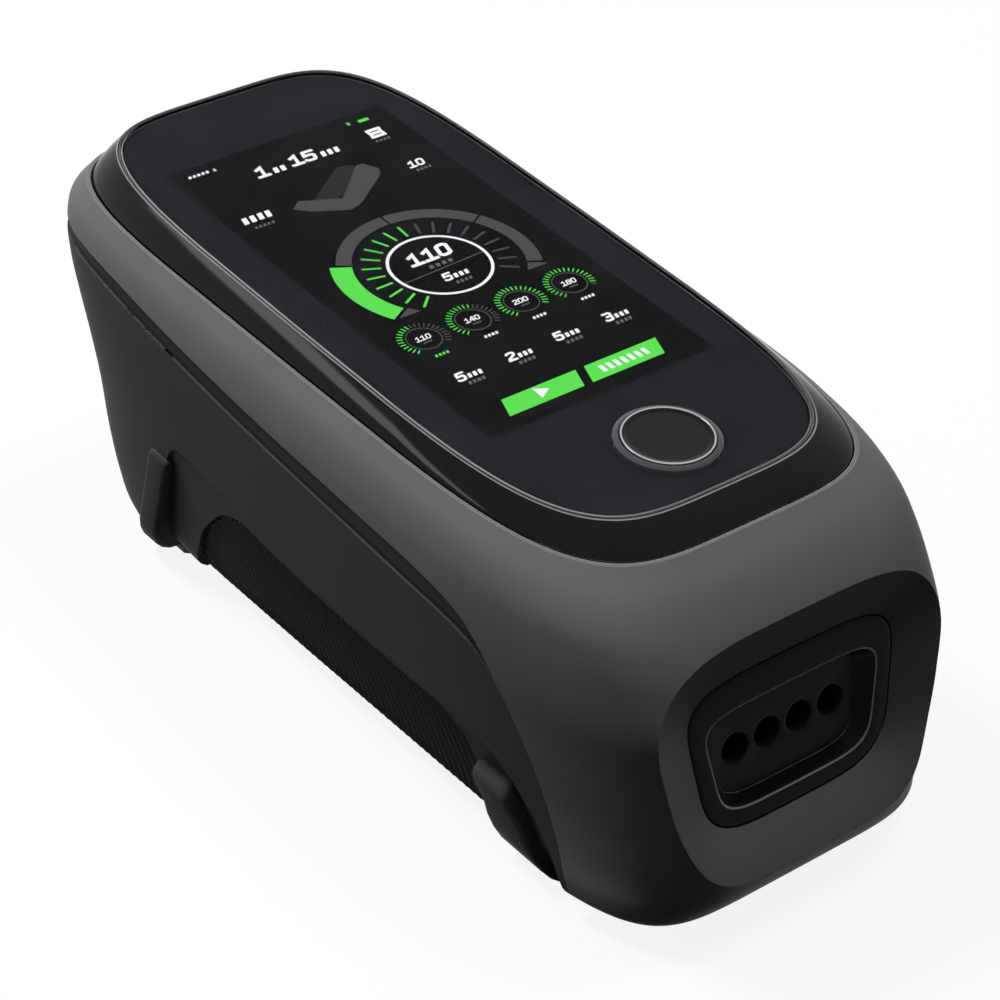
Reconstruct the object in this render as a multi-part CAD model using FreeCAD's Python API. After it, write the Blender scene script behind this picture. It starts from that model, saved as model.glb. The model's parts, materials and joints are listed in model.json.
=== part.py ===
import FreeCAD, Part
import math
import os
from FreeCAD import Placement, Rotation, Vector

# Compression therapy pump. Millimetres, +X right seen from the port end, +Y to the rear, +Z up.
# The origin is on the table under the middle of the body.

# Housing
wall = 2.6                # thickness of the moulded walls
bellyHeight = 4.5         # underside of the body above the table
lipWidth = 0.8            # rim of the shell around the bezel
lipDepth = 1.6            # how far the bezel sinks into the shell
seamGap = 0.35            # dark line between the bezel and the shell
planCentre = 11.7         # place along Y where the two ends of the plan outline meet
trimInset = 0.6           # the trim band lies this far behind the shell and the lower housing
bandHeight = 5.2          # height of the trim band at the middle of the body
bandTaper = 250.0         # place along Y where the band would run out
beltInset = 0.9           # the wall steps back this far under the ridge of the belt
beltLean = 6.0            # degrees, and leans further in below it
padProud = 0.5            # the pads stand this far out of the stepped wall
padThick = 2.6            # from the skin to the flat back of a pad
padLean = 11.0            # degrees
footHeight = 1.6          # rubber feet under the lugs

# Display, in a frame of its own on the middle of the lit screen, Z out of the glass
screenTilt = 2.82         # degrees, rising to the rear
screenY = 21.2
screenRise = 6.45         # middle of the lit screen above the rim of the shell
glassHalfWidth = 41.2
glassHalfLength = 93.95
glassCentre = -7.45
glassThick = 1.1
glassBevel = 0.25
rimWidth = 0.6            # top face of the bezel around the glass
glassGap = 0.2
gasketThick = 0.25
ledgeWidth = 4.0          # ledge of the bezel under the edge of the glass
ledgeThick = 2.0
panelWidth = 66.0         # display panel behind the glass
rearBorder = 20.0         # glass behind the panel
frontBorder = 16.5        # from the panel to the middle of the button
buttonInset = 18.4        # from the front end of the glass to the middle of the button
panelPlay = 0.3
trayThick = 1.5
capRadius = 10.25
capRise = 0.9             # the cap stands this far above the glass
capTravel = 0.7
ringWidth = 1.4           # light ring around the cap
capPlay = 0.15
boardDrop = 9.6           # main board under the tray
boardThick = 1.6
buttonBoardThick = 1.0
trayScrewRadius = 1.0
stemHalf = 2.6            # square stem of the button
stemPlay = 0.1
collarGap = 0.3
capDepth = 1.9            # underside of the cap below the glass face
switchHeight = 3.1

# Port end, in a frame of its own on the middle of the leaning face, Y into the body
leanAngle = 10.9          # degrees, top further back
faceInset = 9.9           # middle of the face behind the foremost point of the body
faceZ = 42.93
dishDepth = 4.0
plateDepth = 7.55
plateThick = 2.0
portPitch = 9.0
portRise = -1.45
socketBore = 6.4
mouthWiden = 1.0          # the holes of the plate are wider at their mouths
socketWall = 1.1
socketLength = 12.0

# Air parts and drive
manifoldAbove = 4.07      # top of the air block above the middle of the face
manifoldHeight = 18.0
valveGap = 2.5            # between neighbouring valves
valveWidth = 12.0
valveHeight = 20.0
valveBack = 30.7          # middle of the valves behind the middle of the face
plungerRadius = 3.0
plungerLength = 9.0
slidePlay = 0.05          # radial play of the plungers
clearFit = 0.05           # radial play of shaft and pin
endGap = 0.3
pumpGap = 2.7             # between the air block and the crank case
pumpZ = 30.0              # height of the motor shaft
caseBottom = 10.0
caseTop = 52.0
caseWidth = 44.0
caseLength = 23.0
throw = 1.5               # half the stroke
motorRadius = 17.0
motorLength = 44.0
shaftRadius = 2.5
pinRadius = 2.0
discThick = 4.0           # web of the crank
rodThick = 5.4
diaphragmThick = 1.0
headHeight = 13.0
headHalf = 11.0
wellRadius = 8.0
cellRadius = 9.2
cellLength = 65.0
holderWall = 1.2
holderEnd = 3.0           # end frames of the battery holder
boardRoom = 10.0          # between the battery holder and the power board
jackLength = 9.9          # body of the inlet between the power board and the wall
jackRadius = 4.6
rearWall = 3.6            # thickness of the rear wall at the inlet
jackZ = 30.0
ventZ = 50.0
screwRadius = 1.5
screwHead = 2.8
screwSeat = 8.0           # underside of the screw heads above the table
bossTop = 16.0
bossWall = 0.8

reach = 140.0             # longer than the whole body, for cutting shapes

# Stations of the body: height, slope to the rear, half width, front, rear, squareness at front and rear
stations = [
    (bellyHeight, 0.0, 44.5, -110.2, 102.1, 6.2, 4.2),
    (6.0, 0.0, 46.4, -111.8, 102.8, 6.0, 4.3),
    (9.0, 0.0, 48.0, -114.0, 103.8, 5.7, 4.5),
    (15.0, 0.0, 48.9, -117.0, 105.4, 5.2, 4.8),
    (24.0, 0.0, 49.4, -120.2, 107.1, 4.8, 5.1),
    (42.0, 0.0, 50.4, -120.6, 108.6, 4.6, 5.2),
    (56.0, 0.004, 52.0, -116.2, 110.6, 4.7, 5.2),
    (64.0, 0.008, 52.7, -111.4, 112.9, 4.7, 5.2),
    (71.0, 0.012, 52.8, -106.6, 115.6, 4.7, 5.2),
    (77.5, 0.018, 52.1, -101.4, 117.7, 4.7, 5.2),
    (83.0, 0.024, 50.1, -96.0, 117.6, 4.6, 5.3),
    (87.6, 0.0292, 46.9, -90.1, 113.5, 4.57, 5.5),
]
beltStation = stations[4]
ridgeStation = stations[5]
bezelFoot = stations[-1]

# Side lines, as (Y, Z)
panelLine = [(reach, 78.0), (90.0, 77.4), (72.7, 76.1), (39.0, 71.4), (6.6, 67.6), (-25.0, 64.4), (-40.0, 62.8),
             (-54.0, 60.9), (-62.8, 58.0), (-69.0, 52.5), (-75.3, 41.2), (-86.9, 13.6)]
bandTip = [(-54.0, 66.1), (-60.5, 63.0), (-67.5, 55.0), (-72.0, 44.0)]
frontLineEnd = (-97.7, -13.8)
ridgeLine = [(60.0, 47.5), (49.0, 45.0), (35.0, 42.0), (17.0, 38.6), (0.0, 36.0), (-17.0, 34.0), (-33.0, 33.0),
             (-61.0, 32.6), (-71.0, 30.5)]

# Places that follow from the sizes
screenZ = bezelFoot[0] + screenRise
glassFront = glassCentre - glassHalfLength
buttonY = glassFront + buttonInset
panelFront = buttonY + frontBorder
panelRear = glassCentre + glassHalfLength - rearBorder
ledgeTop = -glassThick - gasketThick
trayTop = ledgeTop - ledgeThick
trayBottom = trayTop - trayThick
boardBottom = trayBottom - boardDrop
boardTop = boardBottom + boardThick
capBottom = -capDepth
stemBottom = trayBottom - collarGap - 1.0
switchTop = stemBottom - capTravel - 0.05
buttonBoardTop = switchTop - switchHeight

faceY = beltStation[3] + faceInset
plateRear = plateDepth + plateThick
socketRear = plateRear + socketLength
valveY = faceY + valveBack
valvePitch = valveWidth + valveGap
manifoldHalf = 1.5 * valvePitch + valveWidth / 2 + 2.25
manifoldRear = valveY + valveWidth / 2 + 2.0
manifoldTop = faceZ + manifoldAbove
manifoldBottom = manifoldTop - manifoldHeight
valveTop = manifoldTop + valveHeight
nozzleRadius = 2.6
nozzleLength = 6.0
valveNozzleZ = manifoldTop - 9.0

caseFront = manifoldRear + pumpGap
caseRear = caseFront + caseLength
pinFront = caseFront + 7.4
rodY = pinFront + endGap + rodThick / 2
discFront = pinFront + rodThick + 2 * endGap
headBottom = caseTop + diaphragmThick
headTop = headBottom + headHeight
headNozzleZ = headTop - 6.0

rearInside = beltStation[4] - rearWall
jackFace = rearInside + rearWall + 0.3
rearBoardY = rearInside - jackLength - boardThick
bossRearY = rearBoardY - 6.0
cellRear = rearBoardY - boardRoom - holderEnd
cellFront = cellRear - cellLength
cellPitch = 2 * cellRadius + 0.4
floorTop = bellyHeight + wall
cellBottom = floorTop + holderWall
cellTop = cellBottom + 2 * cellPitch
bossHalf = screwHead + bossWall


def quarterOutline(halfWidth, halfLength, squareness, steps):
    """Points of a rounded quarter outline, from its side round to its end, spread by the way it faces."""
    points = []
    for i in range(steps + 1):
        turn = i / steps
        facing = math.pi / 2 * (turn - 0.08 * math.sin(2 * math.pi * turn))
        side = (halfWidth * max(math.cos(facing), 0.0)) ** (1 / (squareness - 1))
        end = (halfLength * max(math.sin(facing), 0.0)) ** (1 / (squareness - 1))
        size = (side ** squareness + end ** squareness) ** (1 / squareness)
        points.append((halfWidth * side / size, halfLength * end / size))
    return points


def ovalPoints(halfWidth, front, rear, frontSquareness, rearSquareness, steps=8):
    """Closed outline around the origin, anticlockwise from its right side."""
    rearQuarter = quarterOutline(halfWidth, rear, rearSquareness, steps)
    frontQuarter = quarterOutline(halfWidth, front, frontSquareness, steps)
    points = rearQuarter[:-1]
    points += [(-x, y) for x, y in rearQuarter[:0:-1]]
    points += [(-x, -y) for x, y in frontQuarter[:-1]]
    points += [(x, -y) for x, y in frontQuarter[:0:-1]]
    return points


def closedWire(points):
    return Part.makePolygon(points + points[:1])


def planOutline(station, inset=0.0, lift=0.0, centre=planCentre):
    """Plan outline of the body at one station, made smaller all round by the inset."""
    height, slope, halfWidth, front, rear, frontSquareness, rearSquareness = station
    flat = ovalPoints(halfWidth - inset, centre - front - inset, rear - inset - centre, frontSquareness, rearSquareness)
    return closedWire([Vector(x, y + centre, height + lift + slope * (y + centre - planCentre)) for x, y in flat])


def bodyLoft(inset=0.0, first=0):
    return Part.makeLoft([planOutline(station, inset) for station in stations[first:]], True, True)


def beltLoft(inset):
    """The body with its sides leaning in below the ridge of the belt."""
    rows = []
    for height, slope, halfWidth, *ends in stations:
        tuck = max(ridgeStation[0] - height, 0.0) * math.tan(math.radians(beltLean))
        rows.append(planOutline((height, slope, halfWidth - tuck, *ends), inset))
    return Part.makeLoft(rows, True, True)


def box(x0, x1, y0, y1, z0, z1):
    return Part.makeBox(x1 - x0, y1 - y0, z1 - z0, Vector(x0, y0, z0))


def rod(radius, start, end):
    return Part.makeCylinder(radius, (end - start).Length, start, end - start)


def along(radius, x, z, y0, y1):
    return rod(radius, Vector(x, y0, z), Vector(x, y1, z))


def regularOutline(sides, radius, z=0.0):
    turns = [2 * math.pi * (i + 0.5) / sides for i in range(sides)]
    return closedWire([Vector(radius * math.cos(turn), radius * math.sin(turn), z) for turn in turns])


def turned(sides, rows):
    """Many-sided turned piece about Z, from (radius, height) rows."""
    return Part.makeLoft([regularOutline(sides, radius, z) for radius, z in rows], True, True)


def prism(sides, radius, start, end):
    """Bar with a regular outline, for the small repeated pieces."""
    bar = Part.Face(regularOutline(sides, radius)).extrude(Vector(0, 0, (end - start).Length))
    bar.Placement = Placement(start, Rotation(Vector(0, 0, 1), end - start))
    return bar


def uprightPrism(sides, radius, x, y, z0, z1):
    return prism(sides, radius, Vector(x, y, z0), Vector(x, y, z1))


def acrossPrism(sides, radius, y, z, x0, x1):
    return prism(sides, radius, Vector(x0, y, z), Vector(x1, y, z))


def cornerBox(x0, x1, y0, y1, z0, z1, cut):
    """Box with its upright edges cut off."""
    solid = box(x0, x1, y0, y1, z0, z1)
    edges = [e for e in solid.Edges if abs(e.tangentAt(e.FirstParameter).z) > 0.9]
    return solid.makeChamfer(cut, edges)


def bothSides(shape):
    return shape.fuse(shape.mirror(Vector(0, 0, 0), Vector(1, 0, 0)))


def joined(shapes):
    return shapes[0].multiFuse(shapes[1:]) if len(shapes) > 1 else shapes[0]


def save(name, shape):
    solids = shape.Solids
    whole = solids[0] if len(solids) == 1 else Part.makeCompound(solids)
    whole.exportStep("parts/" + name + ".step")
    print(name, len(solids), round(whole.Volume), whole.isValid())


def sideVector(place):
    return Vector(0, place[0], place[1])


def sideLines(places):
    points = [sideVector(p) for p in places]
    return [Part.makeLine(a, b) for a, b in zip(points, points[1:])]


def sideSpline(places, endTangent=None):
    curve = Part.BSplineCurve()
    points = [sideVector(p) for p in places]
    if endTangent is None:
        curve.interpolate(points)
    else:
        curve.interpolate(Points=points, InitialTangent=points[1] - points[0], FinalTangent=endTangent)
    return curve.toShape()


def slab(edges, halfWidth=80.0):
    """A closed side outline pulled across the whole width."""
    face = Part.Face(Part.Wire(edges))
    face.translate(Vector(-halfWidth, 0, 0))
    return face.extrude(Vector(2 * halfWidth, 0, 0))


facePlace = Placement(Vector(0, faceY, faceZ), Rotation(Vector(1, 0, 0), -leanAngle))
screenPlace = Placement(Vector(0, screenY, screenZ), Rotation(Vector(1, 0, 0), screenTilt))


def placed(shape, place):
    copy = shape.copy()
    copy.Placement = place.multiply(copy.Placement)
    return copy


# Port end

faceShapes = {            # half width, half height, squareness, widening to the top, rise of the middle
    "edge": (38.73, 28.36, 3.31, 0.1, 0.0),
    "frame": (27.75, 18.42, 4.3, 0.1, 0.0),
    "rim": (23.27, 12.59, 5.2, 0.1, -2.3),
    "plate": (19.6, 10.6, 5.2, 0.066, portRise),
}


def faceOutline(kind, depth, grow=0.0):
    halfWidth, halfHeight, squareness, widening, rise = faceShapes[kind]
    flat = ovalPoints(halfWidth + grow, halfHeight + grow, halfHeight + grow, squareness, squareness, 6)
    tall = halfHeight + grow
    return closedWire([Vector(x * (1 + widening * z / tall), depth, rise + z) for x, z in flat])


def faceLoft(rows):
    return placed(Part.makeLoft([faceOutline(*row) for row in rows], True, True), facePlace)


def faceDish(shift):
    """All that lies in front of the dish; shifted back it gives the inner side of the front wall."""
    out = 14.0
    spread = out * (faceShapes["edge"][0] - faceShapes["frame"][0]) / dishDepth
    return faceLoft([("edge", shift - out, spread), ("edge", shift, 0.0), ("frame", shift + dishDepth, 0.0)])


def makePortFrame():
    body = faceLoft([("frame", dishDepth - 0.1, -0.2), ("frame", plateDepth, -0.2)])
    recess = faceLoft([("rim", dishDepth - 0.2, 0.2), ("plate", plateDepth + 0.1, 0.0)])
    return body.cut(recess)


def makePortBlock():
    """Plate with four dished holes and, behind each, the socket that takes a hose plug."""
    half = faceShapes["plate"][0] + 4.5
    tall = faceShapes["plate"][1] + 3.5
    block = box(-half, half, plateDepth, plateRear, portRise - tall, portRise + tall)
    middles = [(number - 1.5) * portPitch for number in range(4)]
    side = socketBore / 2 + socketWall
    block = block.fuse([box(x - side, x + side, plateRear, socketRear, portRise - side, portRise + side)
                        for x in middles])
    dish = turned(24, [((socketBore + mouthWiden) / 2, 0.0), (socketBore / 2 + 0.1, plateThick)])
    mouths = [placed(dish, Placement(Vector(x, plateDepth, portRise), Rotation(Vector(0, 0, 1), Vector(0, 1, 0))))
              for x in middles]
    bores = [along(socketBore / 2, x, portRise, plateRear, socketRear) for x in middles]
    return placed(block.cut(mouths + bores), facePlace)


# Body

def makeLug(outerTop, outerLow, top, frontTop, rearTop, frontLow, rearLow):
    """Foot lug on the left side: a leaning pillar whose outer face turns in towards the table."""
    inside = -33.0
    turn = 13.4
    corner = Vector(-outerLow, 0, footHeight + turn)
    low = Vector(-outerLow + 0.62 * turn, 0, footHeight)
    middle = Vector(-outerLow + 0.2 * turn, 0, footHeight + 0.36 * turn)
    brow = Vector(-outerTop, 0, top - 2.0)
    crest = Vector(-outerTop + 2.5, 0, top)
    edges = [Part.makeLine(crest, brow), Part.makeLine(brow, corner), Part.Arc(corner, middle, low).toShape()]
    edges.append(Part.makeLine(low, Vector(inside, 0, footHeight)))
    edges.append(Part.makeLine(Vector(inside, 0, footHeight), Vector(inside, 0, top)))
    edges.append(Part.makeLine(Vector(inside, 0, top), crest))
    profile = Part.Face(Part.Wire(edges))
    profile.translate(Vector(0, -reach, 0))
    pillar = profile.extrude(Vector(0, 2 * reach, 0))
    return pillar.common(slab(sideLines([(frontLow, 0), (rearLow, 0), (rearTop, top), (frontTop, top), (frontLow, 0)])))


def makeRegions():
    """What lies over the panel line, and the trim band, both across the whole width."""
    slope = Vector(0, frontLineEnd[0] - panelLine[-1][0], frontLineEnd[1] - panelLine[-1][1])
    slope.normalize()
    panel = sideSpline(panelLine, slope * 8.0)
    corners = [panelLine[-1], frontLineEnd, (-reach, frontLineEnd[1]), (-reach, reach), (reach, reach), panelLine[0]]
    above = slab([panel] + sideLines(corners))
    top = [(y, z + bandHeight * (1 - y / bandTaper)) for y, z in panelLine[:7]] + bandTip
    under = slab([sideSpline(top)] + sideLines([top[-1], (top[-1][0], -reach), (reach, -reach), top[0]]))
    return above, above.common(under)


def makeStepRegion():
    """Side outline of the wall under the ridge, between the two lugs."""
    front = [(-70.0, 18.0), (-66.0, -2.0)]
    return slab([sideSpline(ridgeLine + front)] + sideLines([front[-1], (56.0, -2.0), ridgeLine[0]]))


def makePadRegion():
    """Side outline of a grip pad: it follows the ridge and ends in an arch at the rear."""
    top = [(y, z - 4.0) for y, z in ridgeLine[3:-1]]
    rear = [(55.0, -2.0), (51.5, 9.0), (46.5, 21.0), (41.0, 30.0), (32.0, 36.0)]
    front = [(-63.0, 20.0), (-56.5, -2.0)]
    return slab([sideSpline(rear + top + front)] + sideLines([front[-1], rear[0]]))


def makeHull():
    lugs = bothSides(makeLug(50.6, 48.8, 39.0, 57.5, 66.5, 66.0, 79.0))
    lugs = lugs.fuse(bothSides(makeLug(49.6, 47.6, 27.0, -72.0, -63.0, -84.5, -58.5)))
    stepped = bodyLoft().cut(makeStepRegion().cut(beltLoft(beltInset)))
    return stepped.fuse(lugs).cut(faceDish(0.0))


def makeCavity():
    """Room for the inner parts, in tiers that follow the walls from the floor to the opening under the bezel."""
    tiers = [             # half width, front, rear, bottom, top, cut corner
        (36.5, -99.0, 99.5, floorTop, 18.0, 19.0),
        (41.0, -108.0, rearInside, 16.0, 37.0, 19.0),
        (45.5, -108.0, 104.5, 36.0, 62.0, 21.0),
        (45.0, -99.0, 107.0, 61.0, 76.0, 20.0),
        (43.0, -83.0, 109.0, 75.0, reach, 20.0),
    ]
    room = joined([cornerBox(-half, half, *rest) for half, *rest in tiers])
    return room.common(placed(box(-80, 80, dishDepth + wall, 3 * reach, -reach, reach), facePlace))


def makePads():
    """Left and right grip pads, which fill pockets of the lower wall."""
    inner = beltLoft(beltInset - padProud).common(makePadRegion())
    tuck = (ridgeStation[0] - beltStation[0]) * math.tan(math.radians(beltLean))
    back = beltStation[2] - tuck - beltInset + padProud - padThick
    pads = []
    for side in (-1, 1):
        lean = Placement(Vector(side * back, 0, beltStation[0]), Rotation(Vector(0, 1, 0), side * padLean))
        outer = box(0, 40, -reach, reach, -60, 60) if side > 0 else box(-40, 0, -reach, reach, -60, 60)
        pads.append(inner.common(placed(outer, lean)))
    return pads


def faceOpening():
    return faceLoft([("frame", 0.0, 0.0), ("frame", dishDepth + 10.0, 0.0)])


def bossPlaces():
    return [(side * x, y) for x, y in ((28.0, -81.0), (32.0, bossRearY)) for side in (-1, 1)]


def post(x, y, z0, z1):
    return box(x - bossHalf, x + bossHalf, y - bossHalf, y + bossHalf, z0, z1)


def makeLowerPosts():
    """Screw bosses of the lower housing and the stands that carry the air block and the rear board."""
    floor = floorTop - 0.5
    posts = [post(x, y, floor, bossTop) for x, y in bossPlaces()]
    posts += [box(x - 3, x + 3, valveY - 5.4, valveY + 3.6, floor, manifoldBottom) for x in (-20.0, 20.0)]
    posts += [box(x - 2, x + 2, rearBoardY - 2.2, rearBoardY, floor, 40.0) for x in (-27.0, 27.0)]
    posts += [box(x - 2, x + 2, rearBoardY + boardThick, rearBoardY + boardThick + 2.2, floor, 40.0)
              for x in (-27.0, 27.0)]
    return joined(posts)


def makeShellPosts():
    """Tongues and columns of the upper shell that take the housing screws."""
    posts = []
    for x, y in bossPlaces():
        if y < 0:
            posts.append(box(x - bossHalf, x + bossHalf, faceY + 1.3, y + bossHalf, bossTop, bossTop + 10.0))
        else:
            posts.append(post(x, y, bossTop, 84.5))
            ends = sorted((x, math.copysign(44.5, x)))
            posts.append(box(ends[0], ends[1], y - bossHalf, y + bossHalf, 82.7, 84.5))
    pilots = [uprightPrism(6, screwRadius, x, y, bossTop, bossTop + 9.0) for x, y in bossPlaces()]
    return joined(posts).cut(pilots)


def screwHoles():
    holes = []
    for x, y in bossPlaces():
        holes.append(uprightPrism(6, screwRadius + 0.1, x, y, 0.0, bossTop + 1.0))
        holes.append(uprightPrism(6, screwHead + 0.2, x, y, 0.0, screwSeat))
    return joined(holes)


def ventPrism(grow):
    """Upright slot shape with cut corners, pulled through the rear wall."""
    plate = cornerBox(-18.0 - grow, 18.0 + grow, -6.5 - grow, 6.5 + grow, 0.0, 30.0, 3.0)
    plate.Placement = Placement(Vector(0, 130.0, ventZ), Rotation(Vector(1, 0, 0), 90))
    return plate


def makeVent():
    """Slotted air outlet set into the rear wall and flush with it."""
    plate = bodyLoft(0.2, 4).common(ventPrism(-0.1)).cut(box(-30, 30, 60, 107.0, 0, 90))
    for number in range(8):
        x = (number - 3.5) * 4.0
        plate = plate.cut(box(x - 0.9, x + 0.9, 100.0, 125.0, ventZ - 4.5, ventZ + 4.5))
    return plate


# Display and button, drawn in the frame of the screen

def screenOutline(grow, z):
    flat = ovalPoints(glassHalfWidth + grow, glassHalfLength + grow, glassHalfLength + grow, 4.2, 4.6)
    return closedWire([Vector(x, y + glassCentre, z) for x, y in flat])


def screenLoft(rows):
    return Part.makeLoft([screenOutline(*row) for row in rows], True, True)


def onScreen(shape):
    return placed(shape, screenPlace)


def panelBox(grow, bottom, top):
    half = panelWidth / 2 + grow
    return box(-half, half, panelFront - grow, panelRear + grow, bottom, top)


def makeBezel():
    """Glossy frame that slopes from the rim around the glass down to the shell."""
    middle = screenPlace.multVec(Vector(0, glassCentre, 0))
    slope = math.tan(math.radians(screenTilt))
    half = glassHalfLength + glassGap + rimWidth
    rim = (middle.z + slope * (planCentre - middle.y), slope, glassHalfWidth + glassGap + rimWidth,
           middle.y - half, middle.y + half, 4.2, 4.6)
    inset = lipWidth + seamGap
    foot = (bezelFoot[0], bezelFoot[1], bezelFoot[2] - inset, bezelFoot[3] + inset, bezelFoot[4] - inset,
            bezelFoot[5], bezelFoot[6])
    rows = []
    for down in (0.0, 0.16, 0.4, 0.7, 1.0):
        out = 1 - (1 - down) ** 1.6
        share = [down, down, out, out, out, down, down]
        station = [a + (b - a) * k for a, b, k in zip(rim, foot, share)]
        rows.append(planOutline(station, 0.0, 0.0, middle.y + (planCentre - middle.y) * down))
    skirt = Part.makeLoft([planOutline(foot), planOutline(foot, 0.0, -lipDepth)], True, True)
    solid = Part.makeLoft(rows, True, True).fuse(skirt)
    pocket = screenLoft([(glassGap, ledgeTop), (glassGap, 5.0)])
    opening = screenLoft([(-ledgeWidth, trayTop - 1.0), (-ledgeWidth, 0.0)]).fuse(panelBox(panelPlay, trayTop - 1.0, 0.0))
    hollow = screenLoft([(glassGap, -20.0), (glassGap, trayTop)])
    return solid.cut(onScreen(pocket.fuse([opening, hollow])))


def makeGlass():
    sheet = screenLoft([(0.0, -glassThick), (0.0, -glassBevel), (-glassBevel, 0.0)])
    hole = uprightPrism(48, capRadius + capPlay + ringWidth + 0.05, 0, buttonY, -glassThick - 1, 1)
    return onScreen(sheet.cut(hole))


def makeGasket():
    inner = screenLoft([(0.6 - ledgeWidth, -9.0), (0.6 - ledgeWidth, 9.0)])
    frame = screenLoft([(-0.3, ledgeTop), (-0.3, -glassThick)])
    return onScreen(frame.cut([inner, panelBox(panelPlay, -9.0, 9.0)]))


def makePanel():
    return onScreen(panelBox(0.0, trayTop, -glassThick))


def trayScrewPlaces():
    edge = glassHalfWidth - 0.65 * ledgeWidth
    return [(side * edge, y) for side in (-1, 1) for y in (panelFront + 21.5, panelRear - 26.5)]


def standoffPlaces():
    return [(side * 25.0, y) for side in (-1, 1) for y in (panelFront + 28.5, panelRear - 2.5)]


def makeTray():
    """Carrier of the display panel, with standoffs for the boards and an opening for the button stem."""
    tray = screenLoft([(0.0, trayBottom), (0.0, trayTop)])
    holes = [uprightPrism(6, trayScrewRadius + 0.05, x, y, trayBottom - 1, trayTop + 1) for x, y in trayScrewPlaces()]
    half = stemHalf + stemPlay
    holes.append(box(-half, half, buttonY - half, buttonY + half, trayBottom - 1, trayTop + 1))
    posts = [box(x - 2.5, x + 2.5, y - 2.5, y + 2.5, boardTop, trayBottom) for x, y in standoffPlaces()]
    posts += [box(x - 2, x + 2, buttonY - 3, buttonY + 3, buttonBoardTop, trayBottom) for x in (-10.0, 10.0)]
    return onScreen(tray.cut(holes).fuse(posts))


def makeCap():
    """Button: a disc with a sunken face, a square stem through the tray and a collar that holds it there."""
    disc = turned(48, [(capRadius, capBottom), (capRadius, capRise - 0.3), (capRadius - 0.4, capRise)])
    disc = disc.cut(turned(48, [(capRadius - 1.8, capRise - 0.25), (capRadius - 1.2, capRise), (capRadius, 2.0)]))
    half = stemHalf
    stem = box(-half, half, -half, half, stemBottom, capBottom)
    half = stemHalf + 0.9
    collar = box(-half, half, -half, half, stemBottom, trayBottom - collarGap)
    cap = disc.fuse([stem, collar])
    cap.translate(Vector(0, buttonY, 0))
    return onScreen(cap)


def makeLightRing():
    inner = capRadius + capPlay
    outer = inner + ringWidth
    ring = turned(48, [(outer, trayTop), (outer, 0.0), (inner, 0.45)]).cut(turned(48, [(inner, -20.0), (inner, 1.0)]))
    ring.translate(Vector(0, buttonY, 0))
    return onScreen(ring)


def makeReturnPad():
    outer = uprightPrism(12, 8.0, 0, buttonY, trayTop, capBottom)
    return onScreen(outer.cut(uprightPrism(12, 6.0, 0, buttonY, trayTop, capBottom)))


def makeSwitch():
    return onScreen(box(-3, 3, buttonY - 3, buttonY + 3, buttonBoardTop, switchTop))


def makeButtonBoard():
    return onScreen(box(-14, 14, buttonY - 8, buttonY + 8, buttonBoardTop - buttonBoardThick, buttonBoardTop))


def makeTrayScrews():
    """Small screws up through the tray against the ledge of the bezel."""
    screws = []
    for x, y in trayScrewPlaces():
        shank = uprightPrism(6, trayScrewRadius, x, y, trayBottom, trayTop)
        screws.append(shank.fuse(uprightPrism(6, 1.9, x, y, trayBottom - 1.2, trayBottom)))
    return onScreen(Part.makeCompound(screws))


def makeMainBoard():
    return onScreen(box(-28, 28, panelFront + 22.5, panelRear + 3.5, boardBottom, boardTop))


def makeBoardParts():
    """Chips, a shield can and plugs on the main board."""
    up = [(-20, -10, 24, 24, 2.6), (8, 2, 12, 12, 1.6), (-22, 28, 12, 18, 1.4), (8, 32, 14, 10, 3.2),
          (-12, 54, 24, 6, 4.0)]
    down = [(-20, -38, 10, 16, 5.0), (6, -36, 14, 8, 5.5), (-22, 44, 8, 14, 5.0)]
    parts = [box(x, x + w, y, y + d, boardTop, boardTop + h) for x, y, w, d, h in up]
    parts += [box(x, x + w, y, y + d, boardBottom - h, boardBottom) for x, y, w, d, h in down]
    return onScreen(Part.makeCompound(parts))


def makeBuzzer():
    return onScreen(uprightPrism(16, 6.0, 16.0, 40.0, boardBottom - 5.0, boardBottom))


# Air parts and drive

def makeManifold():
    """Air block: its leaning front carries the sockets, its flat top the valves, its left end the supply nozzle."""
    leaning = placed(box(-23, 23, socketRear, socketRear + 8.0, portRise - 7.0, portRise + 7.0), facePlace)
    block = box(-manifoldHalf, manifoldHalf, valveY - 6.9, manifoldRear, manifoldBottom, manifoldTop)
    nozzle = acrossPrism(8, nozzleRadius, valveY, valveNozzleZ, -manifoldHalf - nozzleLength, -manifoldHalf)
    return leaning.fuse([block, nozzle])


def valveX(number):
    return (number - 1.5) * valvePitch


def makeValveBody(number):
    x = valveX(number)
    half = valveWidth / 2
    body = box(x - half, x + half, valveY - half, valveY + half, manifoldTop, valveTop)
    return body.cut(uprightPrism(16, plungerRadius + slidePlay, x, valveY, manifoldTop + 2.0, valveTop - 3.0))


def makePlunger(number):
    bottom = manifoldTop + 2.0 + endGap
    return uprightPrism(16, plungerRadius, valveX(number), valveY, bottom, bottom + plungerLength)


def makeValveSpring(number):
    bottom = manifoldTop + 2.0 + endGap + plungerLength
    top = valveTop - 3.0
    x = valveX(number)
    return uprightPrism(8, 2.2, x, valveY, bottom, top).cut(uprightPrism(8, 1.5, x, valveY, bottom, top))


def makeSensorBoard():
    return box(-manifoldHalf, manifoldHalf, valveY - 8, valveY + 8, valveTop, valveTop + boardThick)


def makeSensors():
    """Four pressure sensors, each with a port stub."""
    parts = []
    for number in range(4):
        x = valveX(number)
        top = valveTop + boardThick
        parts.append(box(x - 3.5, x + 3.5, valveY - 3.5, valveY + 3.5, top, top + 3.5))
    return Part.makeCompound(parts)


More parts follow.
